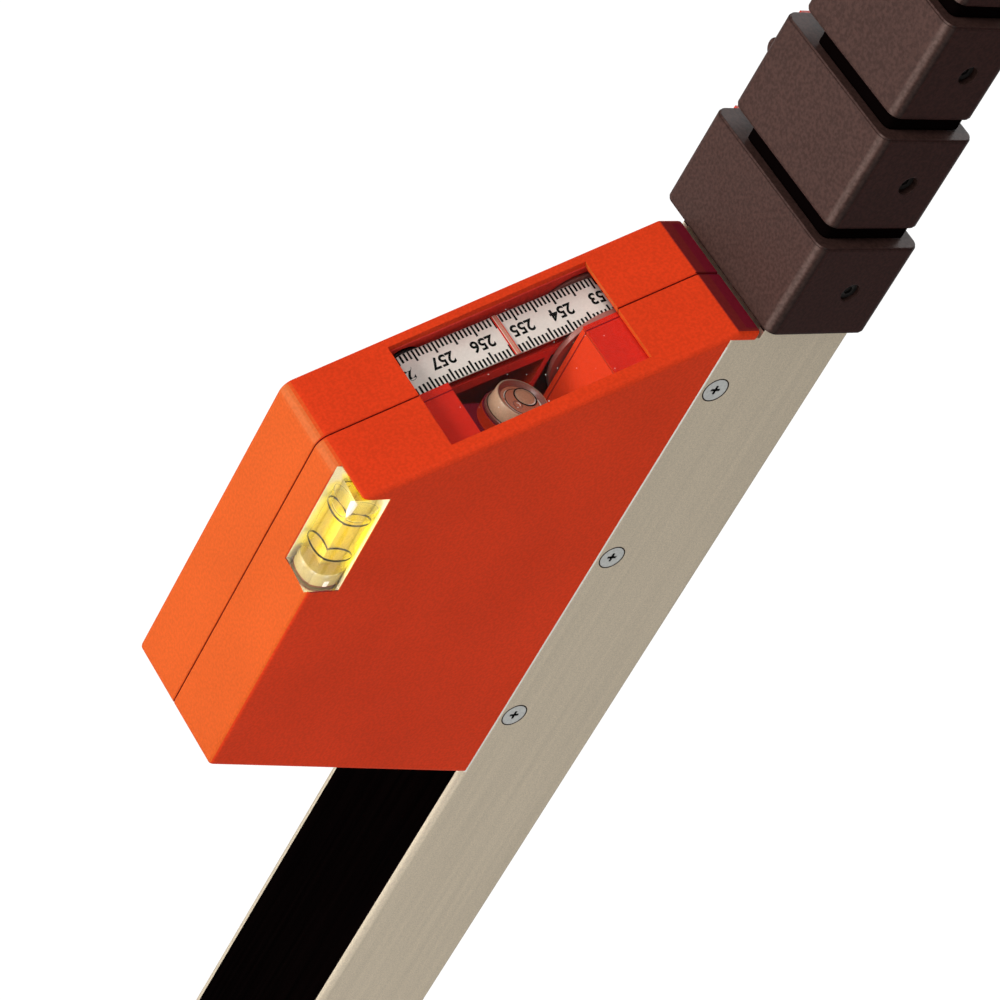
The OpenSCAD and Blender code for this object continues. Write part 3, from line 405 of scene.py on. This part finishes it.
def tape_white():
    """Warm white enamel of the tape."""
    m = Mat("tape enamel")
    tones = [(0.3, (0.84, 0.77, 0.71, 1)), (0.7, (0.9, 0.83, 0.77, 1))]
    m.set(Base_Color=m.ramp(m.noise(1500.0, 2.0), tones))
    m.set(Roughness=0.55, Specular_IOR_Level=0.2)
    m.set(Normal=m.bump(m.noise(2500.0), 0.1, 0.00001))
    return m


def ink(name, base, rough=0.5, spec=0.2):
    """Plain fine-grained colour for prints, small rings and highlights."""
    m = Mat(name)
    tones = [(0.3, shade(base, 0.85)), (0.7, shade(base, 1.15))]
    m.set(Base_Color=m.ramp(m.noise(3000.0, 2.0), tones), Roughness=rough, Specular_IOR_Level=spec)
    return m


tape = tape_white()
black_ink = ink("black ink", grey(0.004), 0.6, 0.05)
dark_ink = ink("dark line", (0.012, 0.004, 0.003, 1), 0.6, 0.05)
red_ink = ink("red ink", (0.7, 0.02, 0.008, 1))
# The salmon stripe of the index band is painted light beside the red line, not print
salmon_painted_light = ink("salmon painted light", (0.62, 0.27, 0.19, 1))
white_film = ink("pale film", (0.82, 0.73, 0.48, 1), 0.6)
dust = ink("dust", (0.8, 0.74, 0.7, 1), 0.8)
plug_white = ink("pale plug", (0.42, 0.32, 0.12, 1), 0.3, 0.5)
plug_brown = ink("brown plug edge", (0.16, 0.04, 0.01, 1), 0.5)
# The round level's clear brown plastic is drawn opaque, one tone a part; the paler and darker tones are
# painted light and shade
level_wall = ink("level wall", (0.5, 0.31, 0.2, 1), 0.3, 0.4)
level_rim = ink("level rim", (0.24, 0.075, 0.055, 1), 0.3, 0.4)
level_disc = ink("level disc", (0.6, 0.2, 0.11, 1), 0.25, 0.4)
level_bubble = ink("level bubble", (0.6, 0.33, 0.2, 1), 0.2, 0.5)
level_pale = ink("level highlight", (0.85, 0.74, 0.64, 1), 0.4)


def mix_shaders(m, fac, first, second):
    """Gives the material's surface the first shader, and the second where fac is 1."""
    mixer = m.node("ShaderNodeMixShader")
    m.link(fac, mixer.inputs["Fac"])
    m.link(first.outputs[0], mixer.inputs[1])
    m.link(second.outputs[0], mixer.inputs[2])
    m.link(mixer.outputs["Shader"], m.out.inputs["Surface"])


def see_through(m, tint):
    """A shader that lets light through unbent, tinted a little."""
    node = m.node("ShaderNodeBsdfTransparent")
    node.inputs["Color"].default_value = tint
    return node


def clear(name, tint, ior=1.49, rough=0.02):
    """Clear moulded plastic with real refraction, and light let through for its shadow."""
    m = Mat(name)
    m.set(Base_Color=tint, Roughness=rough, IOR=ior, Transmission_Weight=1.0)
    mix_shaders(m, m.node("ShaderNodeLightPath").outputs["Is Shadow Ray"], m.shader, see_through(m, tint))
    return m


def thin_pane():
    """The window pane: what is behind it shows unbent, with a weak reflection on its outer faces."""
    m = Mat("clear pane")
    fresnel = m.node("ShaderNodeFresnel")
    fresnel.inputs["IOR"].default_value = 1.35
    outer = m.math("SUBTRACT", 1.0, m.node("ShaderNodeNewGeometry").outputs["Backfacing"])
    smear = m.maps(m.noise(90.0, 3.0), 0.2, 0.6)
    glossy = m.node("ShaderNodeBsdfGlossy")
    m.link(m.maps(m.noise(300.0), 0.03, 0.08), glossy.inputs["Roughness"])
    fac = m.both(fresnel.outputs["Fac"], m.both(outer, smear))
    mix_shaders(m, fac, see_through(m, (0.985, 0.985, 0.98, 1)), glossy)
    return m


def yellow_liquid():
    """Clear yellow liquid: the colour comes from the depth that the light crosses."""
    m = clear("yellow liquid", (1, 1, 1, 1), 1.47)
    volume = m.node("ShaderNodeVolumeAbsorption")
    volume.inputs["Color"].default_value = (0.99, 0.95, 0.03, 1)
    volume.inputs["Density"].default_value = 430.0
    m.link(volume.outputs["Volume"], m.out.inputs["Volume"])
    return m


acrylic = clear("clear block", (0.995, 0.99, 0.96, 1)).set(Specular_IOR_Level=0.25)
liquid = yellow_liquid()
pane = thin_pane()

# Which material each piece of the frame wears

LOOK = {
    "base_profile": silver, "cover_strip": strip_black(), "foot_block": black_foot, "foot_plate": plate_steel,
    "foot_screws": screw_steel, "return_roller": black_wheel, "return_roller_pin": pin_steel,
    "shell_right": red, "shell_left": red, "shell_screws": screw_steel, "profile_screws": head_steel,
    "window_pane": pane, "reading_tape": tape, "guide_wheel": brown, "guide_wheel_pin": pin_steel,
    "guide_roller": black_wheel, "guide_roller_pin": pin_steel, "tape_reel": black_wheel, "wound_tape": tape,
    "return_spring": spring_blue, "reel_axle": pin_steel, "vial_block": acrylic, "vial_liquid": liquid,
    "round_level": level_wall, "end_cap": black_cap, "cap_screws": screw_steel,
}
for name in NODES:
    if name.startswith("section_"):
        LOOK[name] = tube_silver
    elif name.startswith("guide_shoe_"):
        LOOK[name] = black_wheel
    elif name.startswith("collar_screws_"):
        LOOK[name] = screw_dark
    elif name.startswith("collar_"):
        LOOK[name] = black_collar
    elif name.startswith("lock_lever_"):
        LOOK[name] = lever_red
    elif name.startswith("lock_pin_"):
        LOOK[name] = pin_steel


def smooth(obj, angle=32.0):
    """Smooth shading over the small facets, sharp over real edges."""
    mesh = obj.data
    mesh.polygons.foreach_set("use_smooth", [True] * len(mesh.polygons))
    mesh.set_sharp_from_angle(angle=math.radians(angle))


for name, obj in NODES.items():
    obj.data.materials.clear()
    obj.data.materials.append(LOOK[name].material)
    smooth(obj)


# Pieces made here

def add_object(name, data):
    obj = bpy.data.objects.new(name, data)
    bpy.context.scene.collection.objects.link(obj)
    return obj


def mesh_piece(name, verts, faces, mat, smooth_angle=None):
    """A piece on the rod's base body, from points of the scene."""
    mesh = bpy.data.meshes.new(name)
    mesh.from_pydata([tuple(v) for v in verts], [], faces)
    mesh.update()
    obj = add_object(name, mesh)
    mesh.materials.append(mat.material)
    if smooth_angle is not None:
        smooth(obj, smooth_angle)
    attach(obj, "base")
    return obj


def lathe(name, profile, centre, mat, steps=64, axis="Z", close=False, angle=40.0):
    """Turns a profile of (radius, height) in mm around an axis through centre, in the housing's frame."""
    verts, faces, ring = [], [], []
    cx, cy, cz = centre
    for r, h in profile:
        if r < 1e-6:
            ring.append([len(verts)])
            verts.append((0.0, 0.0, h))
        else:
            ring.append([len(verts) + i for i in range(steps)])
            for i in range(steps):
                a = 2 * math.pi * i / steps
                verts.append((r * math.cos(a), r * math.sin(a), h))
    pairs = list(zip(ring, ring[1:]))
    if close:
        pairs.append((ring[-1], ring[0]))
    for a, b in pairs:
        # a ring of one point is the tip on the axis
        for i in range(steps):
            j = (i + 1) % steps
            if len(a) == 1:
                faces.append((a[0], b[j], b[i]))
            elif len(b) == 1:
                faces.append((a[i], a[j], b[0]))
            else:
                faces.append((a[i], a[j], b[j], b[i]))
    out = []
    for x, y, z in verts:
        if axis == "X":
            x, y, z = z, x, y
        out.append(in_scene(cx + x, cy + y, cz + z))
    return mesh_piece(name, out, faces, mat, angle)


# The tape's print: marks and numbers that follow the tape over its guide roller and wheel

PRINT_H = 0.02
PRINT_BEFORE, PRINT_PAST = 8, 12
TENTHS, CENTIMETRES = range(2517, 2589), range(252, 259)
MARK_W, LONG_MARK, SHORT_MARK, MARGIN = 0.5, 3.4, 2.35, 0.05
DIGIT_SIZE, DIGIT_OFFSET, DIGIT_NARROW = 4.75, 0.13, 0.8

wheel_c = on_slant(WHEEL_S, -(WHEEL_DEEP + TAPE_T + RUN + WHEEL_R))
roller_c = on_slant(ROLLER_S, -(ROLLER_DEEP + TAPE_T + RUN + ROLLER_R))
SLOPE = math.atan((WHEEL_DEEP - ROLLER_DEEP) / (WHEEL_S - ROLLER_S))
FLAT = math.pi / 2 + TILT - SLOPE
ALONG = (math.sin(FLAT), -math.cos(FLAT))
LENGTH = (wheel_c[0] - roller_c[0]) * ALONG[0] + (wheel_c[1] - roller_c[1]) * ALONG[1]


def tape_at(u, h):
    """Place (y, z) of the tape's outer face: u along it from the roller's top, h above it."""
    if u < 0:
        a = FLAT - u / (ROLLER_R + RUN + TAPE_T / 2)
        r = ROLLER_R + RUN + TAPE_T + h
        return roller_c[0] + r * math.cos(a), roller_c[1] + r * math.sin(a)
    if u <= LENGTH:
        r = ROLLER_R + RUN + TAPE_T + h
        return (roller_c[0] + r * math.cos(FLAT) + u * ALONG[0],
                roller_c[1] + r * math.sin(FLAT) + u * ALONG[1])
    a = FLAT - (u - LENGTH) / (WHEEL_R + RUN + TAPE_T / 2)
    r = WHEEL_R + RUN + TAPE_T + h
    return wheel_c[0] + r * math.cos(a), wheel_c[1] + r * math.sin(a)


def u_of(value):
    """Place along the tape of a reading in centimetres, from one reading whose place is known."""
    known, known_s = 257.7, 28.56
    return (known_s + (known - value) * 10 - ROLLER_S) / math.cos(SLOPE)


def tape_marks():
    """Millimetre marks along both edges of the tape, longer at each half centimetre, in one piece."""
    verts, faces = [], []

    def mark(u, x0, x1):
        k = len(verts)
        for du, x in ((-MARK_W / 2, x0), (-MARK_W / 2, x1), (MARK_W / 2, x1), (MARK_W / 2, x0)):
            verts.append(in_scene(x, *tape_at(u + du, PRINT_H)))
        faces.append((k, k + 1, k + 2, k + 3))

    for tenth in TENTHS:
        u = u_of(tenth / 10)
        if u < -PRINT_BEFORE or u > LENGTH + PRINT_PAST:
            continue
        length = SHORT_MARK if tenth % 5 else LONG_MARK
        mark(u, TAPE_X0 + MARGIN, TAPE_X0 + MARGIN + length)
        mark(u, TAPE_X1 - MARGIN - length, TAPE_X1 - MARGIN)
    mesh_piece("tape_marks", verts, faces, black_ink)


def number_mesh(text):
    """A flat mesh of the digits, centred in X, standing on Y = 0."""
    curve = bpy.data.curves.new("number", "FONT")
    curve.body = text
    curve.size = DIGIT_SIZE
    curve.offset = DIGIT_OFFSET
    curve.align_x = "CENTER"
    curve.resolution_u = 4
    tmp = add_object("number", curve)
    bpy.context.view_layer.update()
    mesh = bpy.data.meshes.new_from_object(tmp.evaluated_get(bpy.context.evaluated_depsgraph_get()))
    bpy.data.objects.remove(tmp)
    return mesh


def tape_number(value):
    """The number at a centimetre, read towards the lower end, the digits' tops to the right."""
    mesh = number_mesh(str(value))
    editable = bmesh.new()
    editable.from_mesh(mesh)
    mid = (TAPE_X0 + TAPE_X1) / 2
    height = max(v.co.y for v in editable.verts)
    for v in editable.verts:
        y, z = tape_at(u_of(value) - v.co.x * DIGIT_NARROW, PRINT_H)
        v.co = in_scene(mid + (v.co.y - height / 2), y, z)
    editable.to_mesh(mesh)
    editable.free()
    mesh.name = "tape_number_%d" % value
    mesh.materials.clear()
    mesh.materials.append(black_ink.material)
    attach(add_object(mesh.name, mesh), "base")


tape_marks()
for value in CENTIMETRES:
    tape_number(value)


# Index band across the tape, from its left edge to just past its right edge

BAND_X0, BAND_X1, BAND_DEEP, BAND_T = TAPE_X0, TAPE_X1 + 0.2, 5.42, 0.06


def band(name, s0, s1, mat):
    """A thin stripe of the index band, from s0 to s1 along the slanted face."""
    verts = []
    for deep in (BAND_DEEP, BAND_DEEP + BAND_T):
        for s, x in ((s0, BAND_X0), (s0, BAND_X1), (s1, BAND_X1), (s1, BAND_X0)):
            verts.append(in_scene(x, *on_slant(s, -deep)))
    faces = [(0, 1, 2, 3), (7, 6, 5, 4), (0, 4, 5, 1), (1, 5, 6, 2), (2, 6, 7, 3), (3, 7, 4, 0)]
    return mesh_piece(name, verts, faces, mat)


# Red line and red edge of the index print; between them a pale stripe, and a salmon stripe of painted light
# beside the line
band("index_line", 50.7, 51.05, red_ink)
band("index_white", 51.05, 51.2, level_pale)
band("index_band", 51.2, 51.95, salmon_painted_light)
band("index_edge", 51.95, 52.15, red_ink)


# Dust under the pane

PANE_UNDER = 3.25
DUST_S0, DUST_S, DUST_X0, DUST_X = 31.0, 41.0, -15.8, 29.6
DUST_R0, DUST_R = 0.07, 0.1


def specks(count=34, corners=5):
    """A few dust specks under the pane, in one piece, placed by uneven steps that don't repeat."""
    verts, faces = [], []
    for i in range(count):
        s = DUST_S0 + DUST_S * ((i * 0.618034) % 1.0)
        x = DUST_X0 + DUST_X * ((i * 0.414214 + 0.3) % 1.0)
        r = DUST_R0 + DUST_R * ((i * 0.73205) % 1.0)
        k = len(verts)
        for a in range(corners):
            t = 2 * math.pi * (a / corners + i * 0.13)
            verts.append(in_scene(x + r * math.cos(t), *on_slant(s + r * math.sin(t), -PANE_UNDER)))
        faces.append(tuple(range(k, k + corners)))
    mesh_piece("pane_dust", verts, faces, dust)


specks()


# Painted shade: a dark ring in the gap round each screw head in the profile's side

for i, z in enumerate(SCREW_ZS):
    r0, r1, thick = SCREW_HEAD_R, SCREW_HEAD_R + 0.3, 0.03
    lathe("screw_gap_%d" % (i + 1), [(r0, 0.0), (r1, 0.0), (r1, thick), (r0, thick)],
          (PROFILE_SIDE + 0.01, SCREW_Y, z), dark_ink, axis="X", close=True)


# Curved lines and small rings of both levels

def arc(name, r0, r1, deg0, deg1, h, mat, centre, thick=0.05):
    """A flat curved line between two angles, in the plane at height h over the centre."""
    n = max(4, int(abs(deg1 - deg0) / 5))
    cx, cy, cz = centre
    verts, faces = [], []
    for i in range(n + 1):
        t = math.radians(deg0 + (deg1 - deg0) * i / n)
        # narrow towards both ends
        w = (r1 - r0) * (0.35 + 0.65 * math.sin(math.pi * i / n))
        for r in ((r0 + r1 - w) / 2, (r0 + r1 + w) / 2):
            for z in (h, h - thick):
                verts.append(in_scene(cx + r * math.cos(t), cy + r * math.sin(t), cz + z))
    for i in range(n):
        k = 4 * i
        faces += [(k, k + 2, k + 6, k + 4), (k + 1, k + 5, k + 7, k + 3), (k, k + 4, k + 5, k + 1),
                  (k + 2, k + 3, k + 7, k + 6)]
    faces += [(0, 1, 3, 2), (4 * n, 4 * n + 2, 4 * n + 3, 4 * n + 1)]
    return mesh_piece(name, verts, faces, mat)


def wire(name, r, h, half_r, half_h, centre):
    """A closed ring of small oval section, as printed or let in round a tube."""
    turns = [i * math.pi / 4 for i in range(8)]
    section = [(r + half_r * math.cos(a), h + half_h * math.sin(a)) for a in turns]
    return lathe(name, section, centre, black_ink, steps=96, close=True)


# Round level: wall, flange, rim, disc under the rim, its bubble, painted highlights and mark

def level_body():
    """Turned parts of the round level, from the outside in."""
    wall = lathe("round_level_wall", [
        (5.1, -7.2), (5.75, -7.2), (5.85, -7.1), (5.85, -4.7), (6.9, -4.7), (6.95, -4.6), (6.47, -0.3),
        (6.42, -0.1), (6.3, 0.0), (6.1, 0.0), (6.08, -1.0), (5.1, -1.2)],
        LEVEL, level_wall, steps=96, close=True)
    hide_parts("round_level")
    lathe("round_level_flange", [
        (6.98, -4.75), (7.3, -4.75), (7.38, -4.65), (7.38, -4.0), (7.28, -3.9), (6.9, -3.9)],
        LEVEL, level_rim, steps=96, close=True)
    lathe("round_level_flange_line", [
        (6.93, -3.89), (7.08, -3.89), (7.08, -3.83), (6.93, -3.83)],
        LEVEL, dark_ink, steps=96, close=True)
    lathe("round_level_rim", [
        (5.12, -1.1), (5.12, -0.98), (5.25, -0.85), (5.8, -0.12), (5.95, -0.04), (6.07, -0.04), (6.06, -1.1)],
        LEVEL, level_rim, steps=96, close=True)
    lathe("round_level_disc", [
        (0, -6.8), (5.0, -6.8), (5.05, -1.25), (5.1, -1.05), (4.9, -0.98), (3.5, -0.88), (1.8, -0.82),
        (0, -0.8)],
        LEVEL, level_disc, steps=96)


def round_level():
    """The whole round level, with its bubble a little off the middle, and painted highlights on it."""
    level_body()
    bubble = (LEVEL[0] - 1.3, LEVEL[1] + 1.8, LEVEL[2])
    wire("round_level_ring", 2.75, -0.76, 0.19, 0.06, bubble)
    lathe("round_level_bubble", [
        (0, -0.72), (1.2, -0.73), (2.0, -0.76), (2.35, -0.8), (2.45, -0.9), (0, -0.95)],
        bubble, level_bubble, steps=64)
    # Painted highlights round the bubble, on the rim and beside the mark
    arc("round_level_light_1", 2.35, 2.57, 0, 359, -0.72, level_wall, bubble)
    arc("round_level_light_2", 2.3, 2.6, -15, 75, -0.71, level_pale, bubble)
    arc("round_level_light_3", 4.75, 5.2, 68, 96, -0.9, level_pale, LEVEL)
    arc("round_level_light_4", 4.2, 4.42, 208, 252, -0.84, level_pale, LEVEL)
    arc("round_level_light_5", 4.28, 4.5, 262, 330, -0.84, level_pale, LEVEL)
    arc("round_level_mark", 3.98, 4.18, 170, 338, -0.84, dark_ink, LEVEL)
    spot = (LEVEL[0] + 0.9, LEVEL[1] - 1.5, LEVEL[2])
    arc("round_level_spot", 1.0, 1.25, 0, 359, -0.79, level_rim, spot)
    arc("round_level_spot_light", 0.35, 0.7, 20, 200, -0.78, level_pale, spot)


round_level()


# Block level: liquid, rings round the tube, pale backing, plug, bubble and glints

def level_liquid():
    """Liquid just wider than the block's bore, so that light passes from one into the other."""
    r, end_r, bevel = TUBE_R + 0.005, TUBE_R - 0.1, 0.1
    body = lathe("block_level_liquid", [
        (0, 0.0), (end_r, 0.0), (r, bevel), (r, TUBE_L - bevel), (end_r, TUBE_L), (0, TUBE_L)],
        VIAL, liquid, steps=96)
    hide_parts("vial_liquid")
    for i, (ring_r, ring_z) in enumerate(((4.34, 4.6), (4.2, 15.5))):
        wire("block_level_ring_%d" % (i + 1), ring_r, ring_z, 0.08, 0.27, VIAL)


def level_backing():
    """Pale film just inside the block's hidden faces."""
    low_z, high_z = 69.05, 97.35
    outer = [(8.22, -80.2), (8.22, -70.12), (16.88, -70.12), (16.88, -71.72), (18.8, -71.72)]
    inner = [(8.26, -80.2), (8.26, -70.16), (16.84, -70.16), (16.84, -71.76), (18.8, -71.76)]
    n = len(outer)
    verts = [in_scene(x, y, z) for z in (low_z, high_z) for x, y in outer + inner]
    faces = []
    for i in range(n - 1):
        faces += [(i, i + 1, i + 1 + 2 * n, i + 2 * n), (n + i, n + i + 2 * n, n + i + 1 + 2 * n, n + i + 1),
                  (i, n + i, n + i + 1, i + 1), (2 * n + i, 2 * n + i + 1, 3 * n + i + 1, 3 * n + i)]
    faces += [(0, 2 * n, 3 * n, n), (n - 1, 2 * n - 1, 4 * n - 1, 3 * n - 1)]
    mesh_piece("block_level_backing", verts, faces, white_film)


def level_plug():
    """The pale plug that closes the tube's lower end."""
    lathe("block_level_plug", [
        (0, -3.9), (3.7, -3.9), (4.2, -3.6), (4.3, -3.1), (4.3, -0.9), (4.25, -0.3), (4.1, 0.06), (0, 0.06)],
        VIAL, plug_white, steps=64)
    lathe("block_level_plug_line", [
        (4.32, -3.75), (4.4, -3.75), (4.4, -3.4), (4.32, -3.4)],
        VIAL, plug_brown, close=True)


def level_lights():
    """Painted highlight and dark line of the bubble under the tube's upper end, and painted glints in the
    block's corner and on the plug.
    """
    top = (VIAL[0], VIAL[1], VIAL[2] + TUBE_L)
    arc("block_level_bubble_highlight", 2.9, 3.3, 180, 400, -2.9, level_pale, top)
    arc("block_level_bubble_2", 2.6, 2.8, 190, 380, -3.3, dark_ink, top)
    glint = ((18.7, -81.1, 97.2), (18.75, -81.1, 92.2), (17.9, -81.03, 93.2), (17.5, -80.99, 96.2),
             (18.75, -80.0, 96.2), (18.75, -80.3, 93.2))
    verts = [in_scene(x, y, z) for x, y, z in glint]
    mesh_piece("block_level_corner_glint", verts, [(0, 3, 2, 1), (0, 1, 5, 4)], level_pale)
    arc("block_level_plug_light_1", 4.32, 4.42, 348, 366, -1.9, level_pale, VIAL, 1.6)
    arc("block_level_plug_light_2", 4.32, 4.42, 178, 196, -0.7, level_pale, VIAL, 1.6)


level_liquid()
level_backing()
level_plug()
level_lights()


# Floor, light and camera

FLOOR_HALF, FLOOR_TONE, FLOOR_GLOW, FLOOR_SHARE = 9, 0.86, 1.12, 0.9
AIM = Vector((0.0, -0.03, 0.46))
LENS, SENSOR = 159.8, 36.0
CAMERA_AT = Vector((0.5470, -0.6762, 1.0518))
CAMERA_RIGHT = Vector((0.4652, 0.7799, 0.4187))
CAMERA_UP = Vector((-0.7063, 0.0419, 0.7067))


def floor():
    """Pale floor, nearly white to the camera and through clear parts, which keeps the shadow."""
    m = Mat("pale floor")
    m.set(Base_Color=grey(FLOOR_TONE), Roughness=0.9, Specular_IOR_Level=0.1)
    glow = m.node("ShaderNodeEmission")
    glow.inputs["Color"].default_value = grey(1)
    glow.inputs["Strength"].default_value = FLOOR_GLOW
    path = m.node("ShaderNodeLightPath")
    seen = m.math("MAXIMUM", path.outputs["Is Camera Ray"], path.outputs["Is Transmission Ray"])
    mix_shaders(m, m.math("MULTIPLY", seen, FLOOR_SHARE), m.shader, glow)
    mesh = bpy.data.meshes.new("floor")
    far = FLOOR_HALF
    mesh.from_pydata([(-far, -far, 0), (far, -far, 0), (far, far, 0), (-far, far, 0)], [], [(0, 1, 2, 3)])
    mesh.materials.append(m.material)
    add_object("floor", mesh)


def world(diffuse, glossy):
    """White to the camera and through clear parts, dim to matt surfaces, brighter in reflections."""
    w = bpy.data.worlds.new("studio")
    bpy.context.scene.world = w
    w.use_nodes = True
    nodes, link = w.node_tree.nodes, w.node_tree.links.new
    path = nodes.new("ShaderNodeLightPath")
    seen = nodes.new("ShaderNodeMath")
    seen.operation = "MAXIMUM"
    link(path.outputs["Is Camera Ray"], seen.inputs[0])
    link(path.outputs["Is Transmission Ray"], seen.inputs[1])
    strength = diffuse
    for ray, value in ((path.outputs["Is Glossy Ray"], glossy), (seen.outputs[0], 1.0)):
        mixer = nodes.new("ShaderNodeMix")
        link(ray, mixer.inputs[0])
        put(mixer.inputs[2], strength, link)
        mixer.inputs[3].default_value = value
        strength = mixer.outputs[0]
    link(strength, nodes["Background"].inputs["Strength"])
    nodes["Background"].inputs["Color"].default_value = grey(1)


def light(name, towards, far, size, power, colour=(1, 1, 1)):
    """A square lamp at a distance in one direction from the housing, turned to it."""
    lamp = bpy.data.lights.new(name, "AREA")
    lamp.shape = "SQUARE"
    lamp.size = size
    lamp.energy = power
    lamp.color = colour
    place = AIM + Vector(towards).normalized() * far
    obj = add_object(name, lamp)
    obj.location = place
    obj.rotation_euler = (AIM - place).to_track_quat("-Z", "Y").to_euler()


def camera():
    """The photograph's camera, fitted to the marks of the tape and the corners of the housing."""
    data = bpy.data.cameras.new("camera")
    data.lens = LENS
    data.sensor_width = SENSOR
    data.sensor_fit = "HORIZONTAL"
    data.clip_start = 0.01
    data.clip_end = 60.0
    right = CAMERA_RIGHT.normalized()
    back = right.cross(CAMERA_UP).normalized()
    up = back.cross(right).normalized()
    obj = add_object("camera", data)
    obj.matrix_world = Matrix.Translation(CAMERA_AT) @ Matrix((right, up, back)).transposed().to_4x4()
    bpy.context.scene.camera = obj


floor()
world(0.09, 0.62)
light("key", (-0.27, -0.95, 0.04), 1.6, 0.8, 21.0, (1.0, 0.985, 0.96))
light("above window", (0.1, -0.62, 0.78), 1.3, 0.5, 6.3)
light("fill right", (0.97, -0.1, 0.03), 1.1, 0.34, 3.9)
light("back", (-0.5, 0.8, 0.3), 1.6, 0.9, 8.0)
camera()
bpy.context.scene.view_settings.view_transform = "Standard"
